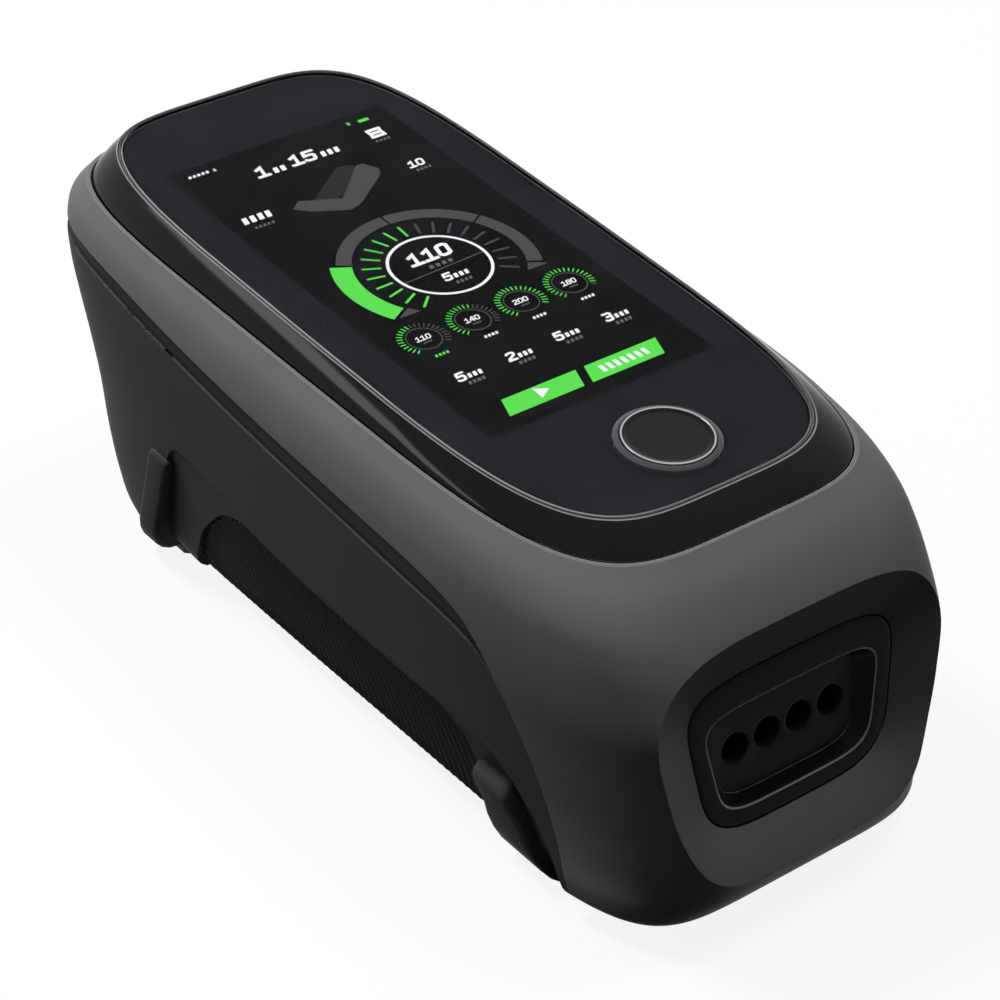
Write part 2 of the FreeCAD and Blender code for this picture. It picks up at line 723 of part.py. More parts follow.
def makeCase():
    """Crank case: a round chamber for the crank with a well above it for the rod, open to the head."""
    half = caseWidth / 2
    case = box(-half, half, caseFront, caseRear, caseBottom, caseTop)
    start = Vector(0, pinFront - 0.8, pumpZ)
    case = case.cut(prism(16, 13.0, start, start + Vector(0, caseLength, 0)))
    return case.cut(uprightPrism(16, wellRadius, 0, rodY, pumpZ, caseTop + 1.0))


def makeMotor():
    can = along(motorRadius, 0, pumpZ, caseRear, caseRear + motorLength)
    bearing = along(shaftRadius + clearFit, 0, pumpZ, caseRear - 1.0, caseRear + 14.0)
    terminals = box(-8.0, 8.0, caseRear + motorLength, caseRear + motorLength + 3.0, pumpZ - 3.0, pumpZ + 3.0)
    return can.fuse(terminals).cut(bearing)


def makeShaft():
    """Motor shaft with its crank web, which carries a counterweight, and the crank pin."""
    shaft = along(shaftRadius, 0, pumpZ, discFront, caseRear + 13.7)
    disc = box(-5.0, 5.0, discFront, discFront + discThick, pumpZ - 9.0, pumpZ + 5.0)
    pin = along(pinRadius, 0, pumpZ + throw, pinFront, discFront)
    return shaft.fuse([disc, pin])


def makeRod():
    """Connecting rod with the plate that pushes the diaphragm."""
    top = caseTop - 0.3
    back = rodY + rodThick / 2
    front = rodY - rodThick / 2
    eye = box(-4.5, 4.5, front, back, pumpZ + throw - 4.5, pumpZ + throw + 4.5)
    arm = box(-2.5, 2.5, front, back, pumpZ + throw, top - 2.5)
    plate = uprightPrism(8, 6.0, 0, rodY, top - 2.5, top)
    return eye.fuse([arm, plate]).cut(along(pinRadius + clearFit, 0, pumpZ + throw, front - 1, back + 1))


def makeDiaphragm():
    return uprightPrism(16, headHalf, 0, rodY, caseTop, caseTop + diaphragmThick)


def makeHead():
    """Pump head with its air chamber, a supply nozzle on the left and an intake nozzle on the right."""
    head = box(-15, 15, rodY - headHalf, rodY + headHalf, headBottom, headTop)
    head = head.fuse(acrossPrism(8, nozzleRadius, rodY, headNozzleZ, -15 - nozzleLength, 15 + nozzleLength))
    return head.cut(uprightPrism(16, wellRadius, 0, rodY, headBottom - 1, headBottom + 3.0))


def makeReeds():
    top = headBottom + 3.0
    return Part.makeCompound([box(x - 2.4, x + 2.4, rodY - 3.5, rodY + 3.5, top - 0.3, top) for x in (-3.8, 3.8)])


def makeFilter():
    body = acrossPrism(16, 7.0, rodY, headNozzleZ, 16.0, 38.0)
    return body.cut(acrossPrism(8, nozzleRadius + 0.05, rodY, headNozzleZ, 15.0, 16.0 + nozzleLength))


def makeHose():
    """Supply hose from the pump head down to the air block, with mitred bends."""
    radius = 4.0
    outer = -manifoldHalf - 5.0
    legs = [acrossPrism(8, radius, rodY, headNozzleZ, outer - radius, -15.5),
            prism(8, radius, Vector(outer, rodY, headNozzleZ), Vector(outer, valveY, valveNozzleZ)),
            acrossPrism(8, radius, valveY, valveNozzleZ, outer - 4.5, -manifoldHalf - 0.5)]
    bores = [acrossPrism(8, nozzleRadius + 0.05, rodY, headNozzleZ, -15.5 - nozzleLength, -15.0),
             acrossPrism(8, nozzleRadius + 0.05, valveY, valveNozzleZ, -manifoldHalf - 6.5, -manifoldHalf)]
    return joined(legs).cut(bores)


def mountPlaces():
    return [(x, y) for x in (-16.0, 16.0) for y in (caseFront + 5.0, caseRear - 5.0)]


def makeMounts():
    """Soft mounts between the crank case and the floor of the housing."""
    return Part.makeCompound([box(x - 3.5, x + 3.5, y - 3.5, y + 3.5, floorTop, caseBottom) for x, y in mountPlaces()])


# Battery and power

def makeCells():
    cells = []
    for x in (-cellPitch, 0.0, cellPitch):
        for z in (cellBottom + cellRadius, cellBottom + cellRadius + cellPitch):
            start = Vector(x, cellFront, z)
            cells.append(prism(16, cellRadius, start, start + Vector(0, cellLength, 0)))
    return Part.makeCompound(cells)


def makeHolder():
    """Two end frames and a floor that carry the cells."""
    half = 1.5 * cellPitch + holderWall
    front = cellFront - holderEnd
    rear = cellRear + holderEnd
    floor = box(-half, half, front, rear, floorTop, cellBottom)
    ends = [box(-half, half, front, cellFront, floorTop, cellTop), box(-half, half, cellRear, rear, floorTop, cellTop)]
    return floor.fuse(ends)


def makeBatteryBoard():
    board = box(-22, 22, cellFront - holderEnd, cellRear + holderEnd, cellTop, cellTop + 1.2)
    return board.fuse([box(-8, 4, cellFront + 8.0, cellFront + 24.0, cellTop + 1.2, cellTop + 4.0)])


def makePowerBoard():
    board = box(-30, 30, rearBoardY, rearBoardY + boardThick, 17.0, 58.0)
    coil = box(-20, -8, rearBoardY - 8.0, rearBoardY, 34.0, 50.0)
    plug = box(6, 20, rearBoardY - 5.0, rearBoardY, 38.0, 52.0)
    return board.fuse([coil, plug])


def makeJack():
    """Round power inlet through the rear wall, with its centre pin, carried by the power board."""
    front = rearBoardY + boardThick
    side = jackRadius + 0.9
    body = box(-side, side, front, rearInside - 0.2, jackZ - side, jackZ + side)
    barrel = along(jackRadius, 0, jackZ, rearInside - 0.2, jackFace - 0.4)
    bore = along(2.85, 0, jackZ, front + 4.0, jackFace + 1.0)
    pin = prism(8, 1.0, Vector(0, front + 3.0, jackZ), Vector(0, jackFace - 1.4, jackZ))
    return body.fuse(barrel).cut(bore).fuse(pin)


def makeFeet():
    """Rubber feet under the four lugs."""
    feet = []
    for x in (-1, 1):
        for y0, y1 in ((-83.5, -61.0), (67.0, 78.0)):
            foot = cornerBox(33.5, 39.0, y0, y1, 0.0, footHeight, 2.0)
            feet.append(foot if x > 0 else foot.mirror(Vector(0, 0, 0), Vector(1, 0, 0)))
    return Part.makeCompound(feet)


def makeHousingScrews():
    screws = []
    for x, y in bossPlaces():
        shank = uprightPrism(6, screwRadius, x, y, screwSeat, bossTop + 8.5)
        screws.append(shank.fuse(uprightPrism(6, screwHead, x, y, screwSeat - 2.0, screwSeat)))
    return Part.makeCompound(screws)


def build():
    above, band = makeRegions()
    cavity = makeCavity()
    pads = makePads()
    body = makeHull().cut(faceOpening()).cut(cavity)
    rebate = Part.makeLoft([planOutline(bezelFoot, lipWidth, -lipDepth), planOutline(bezelFoot, lipWidth, 5.0)],
                           True, True)
    save("upper_shell", body.common(above).cut([band, rebate]).fuse(makeShellPosts()))
    lower = body.cut(above).fuse(makeLowerPosts()).cut(pads + [screwHoles(), ventPrism(0.0)])
    save("lower_housing", lower.cut(along(jackRadius + 0.4, 0, jackZ, rearInside - 1.5, rearInside + 8.5)))
    save("trim_band", bodyLoft(trimInset).cut(cavity).common(band))
    save("grip_pad_left", pads[0])
    save("grip_pad_right", pads[1])
    save("port_frame", makePortFrame())
    save("port_block", makePortBlock())
    save("rear_vent", makeVent())
    save("rubber_feet", makeFeet())
    save("housing_screws", makeHousingScrews())
    save("bezel", makeBezel())
    save("cover_glass", makeGlass())
    save("glass_gasket", makeGasket())
    save("display_panel", makePanel())
    save("display_tray", makeTray())
    save("tray_screws", makeTrayScrews())
    save("home_button", makeCap())
    save("button_light_ring", makeLightRing())
    save("button_return_pad", makeReturnPad())
    save("tact_switch", makeSwitch())
    save("button_board", makeButtonBoard())
    save("main_board", makeMainBoard())
    save("board_parts", makeBoardParts())
    save("buzzer", makeBuzzer())
    save("air_manifold", makeManifold())
    for number in range(4):
        save("valve_body_%d" % (number + 1), makeValveBody(number))
        save("valve_plunger_%d" % (number + 1), makePlunger(number))
        save("valve_spring_%d" % (number + 1), makeValveSpring(number))
    save("sensor_board", makeSensorBoard())
    save("pressure_sensors", makeSensors())
    save("pump_case", makeCase())
    save("pump_mounts", makeMounts())
    save("pump_motor", makeMotor())
    save("drive_shaft", makeShaft())
    save("connecting_rod", makeRod())
    save("diaphragm", makeDiaphragm())
    save("pump_head", makeHead())
    save("reed_valves", makeReeds())
    save("intake_filter", makeFilter())
    save("supply_hose", makeHose())
    save("battery_cells", makeCells())
    save("battery_holder", makeHolder())
    save("battery_board", makeBatteryBoard())
    save("power_board", makePowerBoard())
    save("power_inlet", makeJack())


build()
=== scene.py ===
import json
import math
import bmesh
import bpy
import numpy as np
from mathutils import Matrix, Vector


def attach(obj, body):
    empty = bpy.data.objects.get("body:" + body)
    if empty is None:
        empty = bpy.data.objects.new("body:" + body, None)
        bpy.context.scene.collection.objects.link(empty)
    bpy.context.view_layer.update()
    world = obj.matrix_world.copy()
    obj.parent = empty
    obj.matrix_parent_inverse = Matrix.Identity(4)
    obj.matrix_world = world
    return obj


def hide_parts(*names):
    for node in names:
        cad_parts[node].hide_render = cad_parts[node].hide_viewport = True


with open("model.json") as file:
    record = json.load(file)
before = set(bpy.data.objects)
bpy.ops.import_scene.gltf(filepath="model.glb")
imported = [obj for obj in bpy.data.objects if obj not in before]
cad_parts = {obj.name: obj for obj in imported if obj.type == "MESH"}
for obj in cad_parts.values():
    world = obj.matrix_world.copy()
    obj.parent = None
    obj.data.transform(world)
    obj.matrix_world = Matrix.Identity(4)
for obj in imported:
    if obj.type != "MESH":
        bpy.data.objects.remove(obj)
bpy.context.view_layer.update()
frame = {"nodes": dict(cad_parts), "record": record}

mm = 0.001


def quarterOval(halfWidth, halfLength, squareness, steps):
    # points from the side round to the end, spread by the way the outline faces
    turn = np.linspace(0.0, 1.0, steps + 1)
    facing = math.pi / 2 * (turn - 0.08 * np.sin(2 * math.pi * turn))
    side = np.maximum(halfWidth * np.cos(facing), 0.0) ** (1 / (squareness - 1))
    end = np.maximum(halfLength * np.sin(facing), 0.0) ** (1 / (squareness - 1))
    size = (side ** squareness + end ** squareness) ** (1 / squareness)
    return np.stack([halfWidth * side / size, halfLength * end / size], 1)


def oval(halfWidth, front, rear, squareFront, squareRear, steps):
    back = quarterOval(halfWidth, rear, squareRear, steps)
    fore = quarterOval(halfWidth, front, squareFront, steps)
    return np.concatenate([back[:-1], back[:0:-1] * [-1, 1], fore[:-1] * [-1, -1], fore[:0:-1] * [1, -1]])


def meshPiece(name, points, faces):
    mesh = bpy.data.meshes.new(name)
    mesh.from_pydata([tuple(p) for p in points], [], faces)
    mesh.update()
    piece = bpy.data.objects.new(name, mesh)
    bpy.context.scene.collection.objects.link(piece)
    return piece


def skin(name, rings, closed=False):
    # rings run bottom to top, each anticlockwise seen from above; closed joins the last to the first
    count = len(rings[0])
    points = np.concatenate(rings)
    faces = []
    spans = len(rings) if closed else len(rings) - 1
    for j in range(spans):
        low = j * count
        high = ((j + 1) % len(rings)) * count
        for i in range(count):
            k = (i + 1) % count
            faces.append((low + i, low + k, high + k, high + i))
    if not closed:
        faces.append(tuple(range(count - 1, -1, -1)))
        faces.append(tuple(range((len(rings) - 1) * count, len(rings) * count)))
    return meshPiece(name, points, faces)


def evaluated(piece):
    depsgraph = bpy.context.evaluated_depsgraph_get()
    mesh = bpy.data.meshes.new_from_object(piece.evaluated_get(depsgraph), depsgraph=depsgraph)
    piece.modifiers.clear()
    piece.data = mesh
    return piece


def combine(piece, tool, how="DIFFERENCE", keepTool=False):
    step = piece.modifiers.new("combine", "BOOLEAN")
    step.object = tool
    step.operation = how
    step.solver = "MANIFOLD"
    evaluated(piece)
    if not keepTool:
        bpy.data.objects.remove(tool)
    if len(piece.data.polygons) == 0:
        print("empty after", how, piece.name)
    return piece


def copyOf(piece, name):
    twin = piece.copy()
    twin.data = piece.data.copy()
    twin.name = name
    bpy.context.scene.collection.objects.link(twin)
    return twin


def smoothCurve(points, perSpan=8):
    # centripetal curve through the points
    points = [np.array(p, float) for p in points]
    points = [2 * points[0] - points[1]] + points + [2 * points[-1] - points[-2]]
    out = []
    for a, b, c, d in zip(points, points[1:], points[2:], points[3:]):
        times = [0.0]
        for p, q in ((a, b), (b, c), (c, d)):
            times.append(times[-1] + max(np.linalg.norm(q - p), 1e-6) ** 0.5)
        t0, t1, t2, t3 = times
        for t in np.linspace(t1, t2, perSpan, endpoint=False):
            ab = (t1 - t) / (t1 - t0) * a + (t - t0) / (t1 - t0) * b
            bc = (t2 - t) / (t2 - t1) * b + (t - t1) / (t2 - t1) * c
            cd = (t3 - t) / (t3 - t2) * c + (t - t2) / (t3 - t2) * d
            left = (t2 - t) / (t2 - t0) * ab + (t - t0) / (t2 - t0) * bc
            right = (t3 - t) / (t3 - t1) * bc + (t - t1) / (t3 - t1) * cd
            out.append((t2 - t) / (t2 - t1) * left + (t - t1) / (t2 - t1) * right)
    out.append(points[-2])
    return [tuple(p) for p in out]


def slab(name, side, halfWidth=80.0):
    # a side outline of (y, z) points pulled across the whole width
    area = sum(a[0] * b[1] - b[0] * a[1] for a, b in zip(side, side[1:] + side[:1]))
    if area < 0:
        side = side[::-1]
    count = len(side)
    points = [(-halfWidth, y, z) for y, z in side] + [(halfWidth, y, z) for y, z in side]
    faces = [tuple(range(count - 1, -1, -1)), tuple(range(count, 2 * count))]
    for i in range(count):
        k = (i + 1) % count
        faces.append((i, k, k + count, i + count))
    return meshPiece(name, points, faces)


def finish(piece, material, bodyName="housing", sharp=30.0):
    # millimetres to metres, smooth faces, one material
    piece.data.transform(Matrix.Scale(mm, 4))
    piece.data.materials.clear()
    piece.data.materials.append(material)
    for face in piece.data.polygons:
        face.material_index = 0
    piece.data.shade_smooth()
    piece.data.set_sharp_from_angle(angle=math.radians(sharp))
    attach(piece, bodyName)
    return piece


def socket(tree, name, kind, way, value=None):
    item = tree.interface.new_socket(name, in_out=way, socket_type="NodeSocket" + kind)
    if value is not None:
        item.default_value = value
    return item


def setInputs(tree, item, inputs):
    # each input is a plain value, or a socket to link from
    for key, value in inputs.items():
        if isinstance(value, bpy.types.NodeSocket):
            tree.links.new(value, item.inputs[key])
        else:
            item.inputs[key].default_value = value


def addNode(tree, kind, inputs=None, **settings):
    item = tree.nodes.new(kind)
    for name, value in settings.items():
        setattr(item, name, value)
    setInputs(tree, item, inputs or {})
    return item


def calculate(tree, operation, *values):
    return addNode(tree, "ShaderNodeMath", dict(enumerate(values)), operation=operation).outputs[0]


def vector(tree, **parts):
    return addNode(tree, "ShaderNodeCombineXYZ", parts).outputs[0]


def colorMix(tree, factor, first, second):
    ends = {"Factor": factor, "A": first, "B": second}
    return addNode(tree, "ShaderNodeMix", ends, data_type="RGBA").outputs["Result"]


def makeGrainGroup():
    # fine moulded grain: a height for bump and a soft mottle for colour and roughness
    tree = bpy.data.node_groups.new("mouldedGrain", "ShaderNodeTree")
    socket(tree, "Scale", "Float", "INPUT", 2500.0)
    socket(tree, "Height", "Float", "OUTPUT")
    socket(tree, "Mottle", "Float", "OUTPUT")
    scale = addNode(tree, "NodeGroupInput").outputs["Scale"]
    place = addNode(tree, "ShaderNodeTexCoord").outputs["Object"]
    fine = addNode(tree, "ShaderNodeTexNoise", {"Vector": place, "Scale": scale, "Detail": 3.0})
    broad = addNode(tree, "ShaderNodeTexNoise", {"Vector": place, "Scale": 90.0, "Detail": 4.0})
    addNode(tree, "NodeGroupOutput", {"Height": fine.outputs["Fac"], "Mottle": broad.outputs["Fac"]})
    return tree


def makeHighlightMaskGroup():
    # a mask that is 1 on a sharp edge and fades within the radius; it places the painted edge highlight
    tree = bpy.data.node_groups.new("paintedHighlightMask", "ShaderNodeTree")
    socket(tree, "Radius", "Float", "INPUT", 0.0003)
    socket(tree, "Gain", "Float", "INPUT", 3.0)
    socket(tree, "Mask", "Float", "OUTPUT")
    given = addNode(tree, "NodeGroupInput").outputs
    rounded = addNode(tree, "ShaderNodeBevel", {"Radius": given["Radius"]}, samples=6)
    flat = addNode(tree, "ShaderNodeNewGeometry")
    normals = {0: rounded.outputs["Normal"], 1: flat.outputs["Normal"]}
    match = addNode(tree, "ShaderNodeVectorMath", normals, operation="DOT_PRODUCT")
    lost = calculate(tree, "SUBTRACT", 1.0, match.outputs["Value"])
    gain = addNode(tree, "ShaderNodeMath", {0: lost, 1: given["Gain"]}, operation="MULTIPLY", use_clamp=True)
    addNode(tree, "NodeGroupOutput", {"Mask": gain.outputs[0]})
    return tree


grainGroup = makeGrainGroup()
highlightMaskGroup = makeHighlightMaskGroup()


def newMaterial(name):
    material = bpy.data.materials.new(name)
    material.use_nodes = True
    tree = material.node_tree
    return material, tree, tree.nodes["Principled BSDF"]


def finishMaterial(name, color, roughness, metallic=0.0, grain=0.03, scale=2500.0, spread=0.06,
                   edge=0.25, specular=0.5, rim=None, highlightWidth=0.3, highlightGain=6.0):
    # moulded or machined surface: mottled colour, grain bump, softened edges and, where rim is given, a
    # painted edge highlight
    # edge and the width of the painted edge highlight are in millimetres
    material, tree, shader = newMaterial(name)
    group = addNode(tree, "ShaderNodeGroup", {"Scale": scale}, node_tree=grainGroup)
    mottle = group.outputs["Mottle"]
    darker = [c * (1 - spread) for c in color] + [1]
    lighter = [min(c * (1 + spread), 1) for c in color] + [1]
    base = colorMix(tree, mottle, darker, lighter)
    rough = addNode(tree, "ShaderNodeMapRange", {
        "Value": mottle, "To Min": roughness * 0.9, "To Max": min(roughness * 1.1, 1)})
    if rim is not None:                                   # painted highlight: edges lightened towards the rim colour, for the light their rounding would catch
        width = {"Radius": highlightWidth * mm, "Gain": highlightGain}
        edges = addNode(tree, "ShaderNodeGroup", width, node_tree=highlightMaskGroup)
        base = colorMix(tree, edges.outputs["Mask"], base, [*rim, 1])
    bump = addNode(tree, "ShaderNodeBump", {
        "Strength": grain, "Distance": 0.0002, "Height": group.outputs["Height"]})
    if edge > 0:
        soft = addNode(tree, "ShaderNodeBevel", {"Radius": edge * mm}, samples=4)
        setInputs(tree, bump, {"Normal": soft.outputs["Normal"]})
    setInputs(tree, shader, {
        "Base Color": base, "Metallic": metallic, "Roughness": rough.outputs["Result"],
        "Specular IOR Level": specular, "IOR": 1.5, "Normal": bump.outputs["Normal"]})
    return material


def mottled(tree, color, darkest):
    group = addNode(tree, "ShaderNodeGroup", node_tree=grainGroup)
    return colorMix(tree, group.outputs["Mottle"], [c * darkest for c in color] + [1], [*color, 1])


def lightMaterial(name, color, strength=1.0):
    # lit picture element: an even colour with a trace of unevenness from the backlight
    material, tree, shader = newMaterial(name)
    setInputs(tree, shader, {
        "Base Color": (0, 0, 0, 1), "Roughness": 0.5, "Specular IOR Level": 0.0,
        "Emission Color": mottled(tree, color, 0.97), "Emission Strength": strength})
    return material


def glassMaterial(name, color):
    # an index close to air, because every mirrored ray would meet a white room
    material, tree, shader = newMaterial(name)
    setInputs(tree, shader, {
        "Base Color": mottled(tree, color, 0.98), "Transmission Weight": 1.0, "Roughness": 0.0, "IOR": 1.03})
    return material


# a rim colour gives a finish a painted edge highlight in that colour
surfaces = {
    "shellGrey": dict(color=(0.150, 0.145, 0.154), roughness=0.45, grain=0.10, scale=3000, specular=0.015,
                      rim=(0.55, 0.55, 0.56), highlightWidth=0.12),
    "housingDark": dict(color=(0.056, 0.054, 0.055), roughness=0.5, grain=0.14, scale=2400, specular=0.015,
                        rim=(0.20, 0.20, 0.20), highlightWidth=0.2),
    "trimDark": dict(color=(0.026, 0.026, 0.026), roughness=0.4, grain=0.05, specular=0.02),
    # painted shade: a far darker copy of the grip rubber, for the pad floor between the ribs
    "gripPaintedShade": dict(color=(0.012, 0.012, 0.013), roughness=0.7, grain=0.1, edge=0.0, specular=0.01),
    "gripRubber": dict(color=(0.105, 0.102, 0.112), roughness=0.6, grain=0.15, edge=0.1, specular=0.02,
                       rim=(0.26, 0.255, 0.27), highlightWidth=0.2, highlightGain=5.0),
    "bezelBlack": dict(color=(0.004, 0.004, 0.0045), roughness=0.09, grain=0.0, spread=0.3, edge=0.2,
                       specular=0.1, rim=(0.34, 0.34, 0.35), highlightWidth=0.22, highlightGain=14.0),
    "portBlack": dict(color=(0.006, 0.006, 0.0065), roughness=0.22, grain=0.02, edge=0.25, specular=0.04,
                      rim=(0.30, 0.30, 0.30), highlightWidth=0.25, highlightGain=9.0),
    "portPlate": dict(color=(0.016, 0.016, 0.016), roughness=0.35, grain=0.06, edge=0.2, specular=0.04),
    # painted highlight: a lighter colour for thin bright lines on the bezel top and the port's recess rim
    "paintedBrightLine": dict(color=(0.22, 0.22, 0.225), roughness=0.3, grain=0.0, edge=0, specular=0.2),
    # painted highlight on the glass chamfer
    "glassEdgeHighlight": dict(color=(0.30, 0.30, 0.31), roughness=0.35, grain=0.0, edge=0),
    "printBlack": dict(color=(0.0115, 0.0115, 0.0135), roughness=0.5, grain=0.0, edge=0, specular=0.0),
    "screenBlack": dict(color=(0.0055, 0.0055, 0.006), roughness=0.6, grain=0.0, edge=0, specular=0.0),
    "capBlack": dict(color=(0.005, 0.005, 0.006), roughness=0.12, grain=0.0, edge=0.15, specular=0.1),
    "capRim": dict(color=(0.42, 0.43, 0.44), roughness=0.16, metallic=1.0, grain=0.0, edge=0.1),
    "ringClear": dict(color=(0.05, 0.052, 0.056), roughness=0.15, grain=0.0, edge=0.1, specular=0.2),
}
lights = {
    "whiteLight": dict(color=(0.95, 0.95, 0.95), strength=1.08),
    "greyLight": dict(color=(0.085, 0.085, 0.088)),
    "dimLight": dict(color=(0.14, 0.14, 0.145)),
    "dimGrey": dict(color=(0.035, 0.035, 0.038)),
    "greenLight": dict(color=(0.13, 0.82, 0.10)),
}
finishes = {name: finishMaterial(name, **values) for name, values in surfaces.items()}
finishes["coverGlass"] = glassMaterial("coverGlass", (0.92, 0.93, 0.95))
finishes.update({name: lightMaterial(name, **values) for name, values in lights.items()})
print("materials ready")


# the body is one smooth skin, cut into shell, trim and lower housing
body = {
    "planCentre": 11.7,
    "wall": 2.2,
    "lipWidth": 0.8,
    "lipDepth": 1.6,
    "bandHeight": 5.2,
    "bandTaper": 250.0,
    "bandInset": 0.6,
    "beltInset": 0.9,
    "beltLean": 5.5,
    "padLean": 9.0,
    "ridgeHeight": 42.0,
    "padSink": 0.6,
    "steps": 44,
    "stations": [   # height, slope to the rear, half width, front, rear, squareness of the front and the rear
        (4.5, 0.0, 45.5, -110.2, 102.1, 6.4, 4.2),
        (6.0, 0.0, 47.2, -111.8, 102.8, 6.2, 4.3),
        (9.0, 0.0, 48.4, -114.0, 103.8, 5.5, 4.5),
        (15.0, 0.0, 48.8, -117.0, 105.4, 4.6, 4.8),
        (24.0, 0.0, 49.0, -120.2, 107.1, 4.1, 5.1),
        (42.0, 0.0, 50.3, -120.6, 108.6, 4.3, 5.2),
        (56.0, 0.004, 52.0, -116.2, 110.6, 4.7, 5.2),
        (64.0, 0.008, 52.7, -111.4, 112.9, 4.7, 5.2),
        (71.0, 0.012, 52.8, -106.6, 115.6, 4.7, 5.2),
        (77.5, 0.018, 52.1, -101.4, 117.7, 4.7, 5.2),
        (83.0, 0.024, 50.1, -96.0, 117.6, 4.6, 5.3),
        (87.6, 0.0292, 46.9, -90.1, 113.5, 4.57, 5.5),
    ],
    "panelLine": [(140.0, 78.0), (90.0, 77.4), (72.7, 76.1), (39.0, 71.4), (6.6, 67.6), (-25.0, 64.4),
                  (-40.0, 62.8), (-54.0, 60.9), (-62.8, 58.0), (-69.0, 52.5), (-75.3, 41.2), (-86.9, 13.6)],
    "bandTip": [(-54.0, 66.1), (-60.5, 63.0), (-67.5, 55.0), (-72.0, 44.0)],
    "frontLineEnd": (-97.7, -13.8),
    "ridgeLine": [(58.0, 38.0), (55.0, 42.5), (51.0, 44.8), (45.0, 44.1), (35.0, 42.0), (17.0, 38.8),
                  (0.0, 37.0), (-17.0, 35.9), (-36.0, 35.2), (-47.4, 34.3), (-56.0, 33.2), (-64.2, 31.4),
                  (-69.5, 28.3), (-74.5, 24.0), (-80.0, 18.6), (-84.0, 13.6), (-88.0, 6.0), (-90.0, -2.0)],
    "stepRear": (74.0, -2.0),
    "padRear": [(57.5, -2.0), (54.8, 9.0), (51.8, 15.7), (48.3, 22.2), (44.0, 27.2), (37.6, 33.0),
                (30.0, 36.2)],
    "padFront": [(-57.5, 22.0), (-63.5, -2.0)],
    "padDrop": 4.0,
}


def stationAt(height):
    rows = np.array(body["stations"])
    heights = rows[:, 0]
    if height <= heights[0]:
        return rows[0]
    if height >= heights[-1]:
        return rows[-1]
    slopes = np.gradient(rows, heights, axis=0)
    j = int(np.searchsorted(heights, height)) - 1
    span = heights[j + 1] - heights[j]
    t = (height - heights[j]) / span
    row = ((1 + 2 * t) * (1 - t) ** 2 * rows[j] + t * (1 - t) ** 2 * span * slopes[j]
           + t * t * (3 - 2 * t) * rows[j + 1] + t * t * (t - 1) * span * slopes[j + 1])
    row[0] = height
    return row


def planRing(row, inset=0.0, lift=0.0, centre=None):
    centre = body["planCentre"] if centre is None else centre
    height, slope, halfWidth, front, rear, squareFront, squareRear = row
    fore, back = centre - front - inset, rear - inset - centre
    flat = oval(halfWidth - inset, fore, back, squareFront, squareRear, body["steps"])
    y = flat[:, 1] + centre
    return np.stack([flat[:, 0], y, height + lift + slope * (y - body["planCentre"])], 1)


def bodySkin(name, inset=0.0, bottom=None, openTop=False, lean=0.0):
    bottom = body["stations"][0][0] if bottom is None else bottom
    top = body["stations"][-1][0]
    spread = np.linspace(0, 1, 56)
    heights = bottom + (top - bottom) * (spread - 0.07 * np.sin(2 * math.pi * spread))
    rings = []
    for height in heights:
        row = np.array(stationAt(height))
        row[0] = height
        row[2] -= math.tan(math.radians(lean)) * max(body["ridgeHeight"] - height, 0.0)
        rings.append(planRing(row, inset))
    if openTop:
        rings.append(planRing(stationAt(top), inset, 8.0))
    return skin(name, rings)


faceLean = 10.9
screenTilt = 2.82
faceTurn = Matrix.Translation((0, -110.3, 42.93)) @ Matrix.Rotation(math.radians(-faceLean), 4, "X")
screenTurn = Matrix.Translation((0, 21.2, 94.05)) @ Matrix.Rotation(math.radians(screenTilt), 4, "X")

port = {    # outlines: half width, half height, squareness, widening to the top, rise
    "edge": (38.73, 26.8, 3.31, 0.1, 1.5),
    "frame": (27.75, 18.42, 4.3, 0.1, 0.0),
    "rim": (22.5, 11.9, 5.2, 0.1, -1.6),
    "plate": (19.6, 10.6, 5.2, 0.066, -1.45),
    "dishDepth": 4.0,
    "plateDepth": 7.55,
    "pitch": 9.0,
    "rise": -1.45,
    "mouth": 3.65,
    "bore": 3.2,
    "ports": 4,
    "steps": 24,
}


def turned(points, turn):
    return np.array([turn @ Vector(p) for p in points])


def faceRing(kind, depth, grow=0.0):
    halfWidth, halfHeight, squareness, widening, rise = port[kind]
    tall = halfHeight + grow
    flat = oval(halfWidth + grow, tall, tall, squareness, squareness, port["steps"])
    x = flat[:, 0] * (1 + widening * flat[:, 1] / tall)
    return turned(np.stack([x, np.full(len(x), depth), rise + flat[:, 1]], 1), faceTurn)


def dish(name, shift=0.0):
    out = 14.0
    depth = port["dishDepth"]
    spread = out * (port["edge"][0] - port["frame"][0]) / depth
    rings = [faceRing("frame", shift + depth), faceRing("edge", shift), faceRing("edge", shift - out, spread)]
    return skin(name, rings)


def panelSides():
    reach = 160.0
    line = smoothCurve(body["panelLine"])
    end = body["frontLineEnd"]
    above = line + [end, (-reach, end[1]), (-reach, reach), (reach, reach), (reach, line[0][1])]
    top = [(y, z + body["bandHeight"] * (1 - y / body["bandTaper"])) for y, z in body["panelLine"][:7]]
    top = smoothCurve(top + body["bandTip"])
    under = top + [(top[-1][0], -reach), (reach, -reach), (reach, top[0][1])]
    return above, under


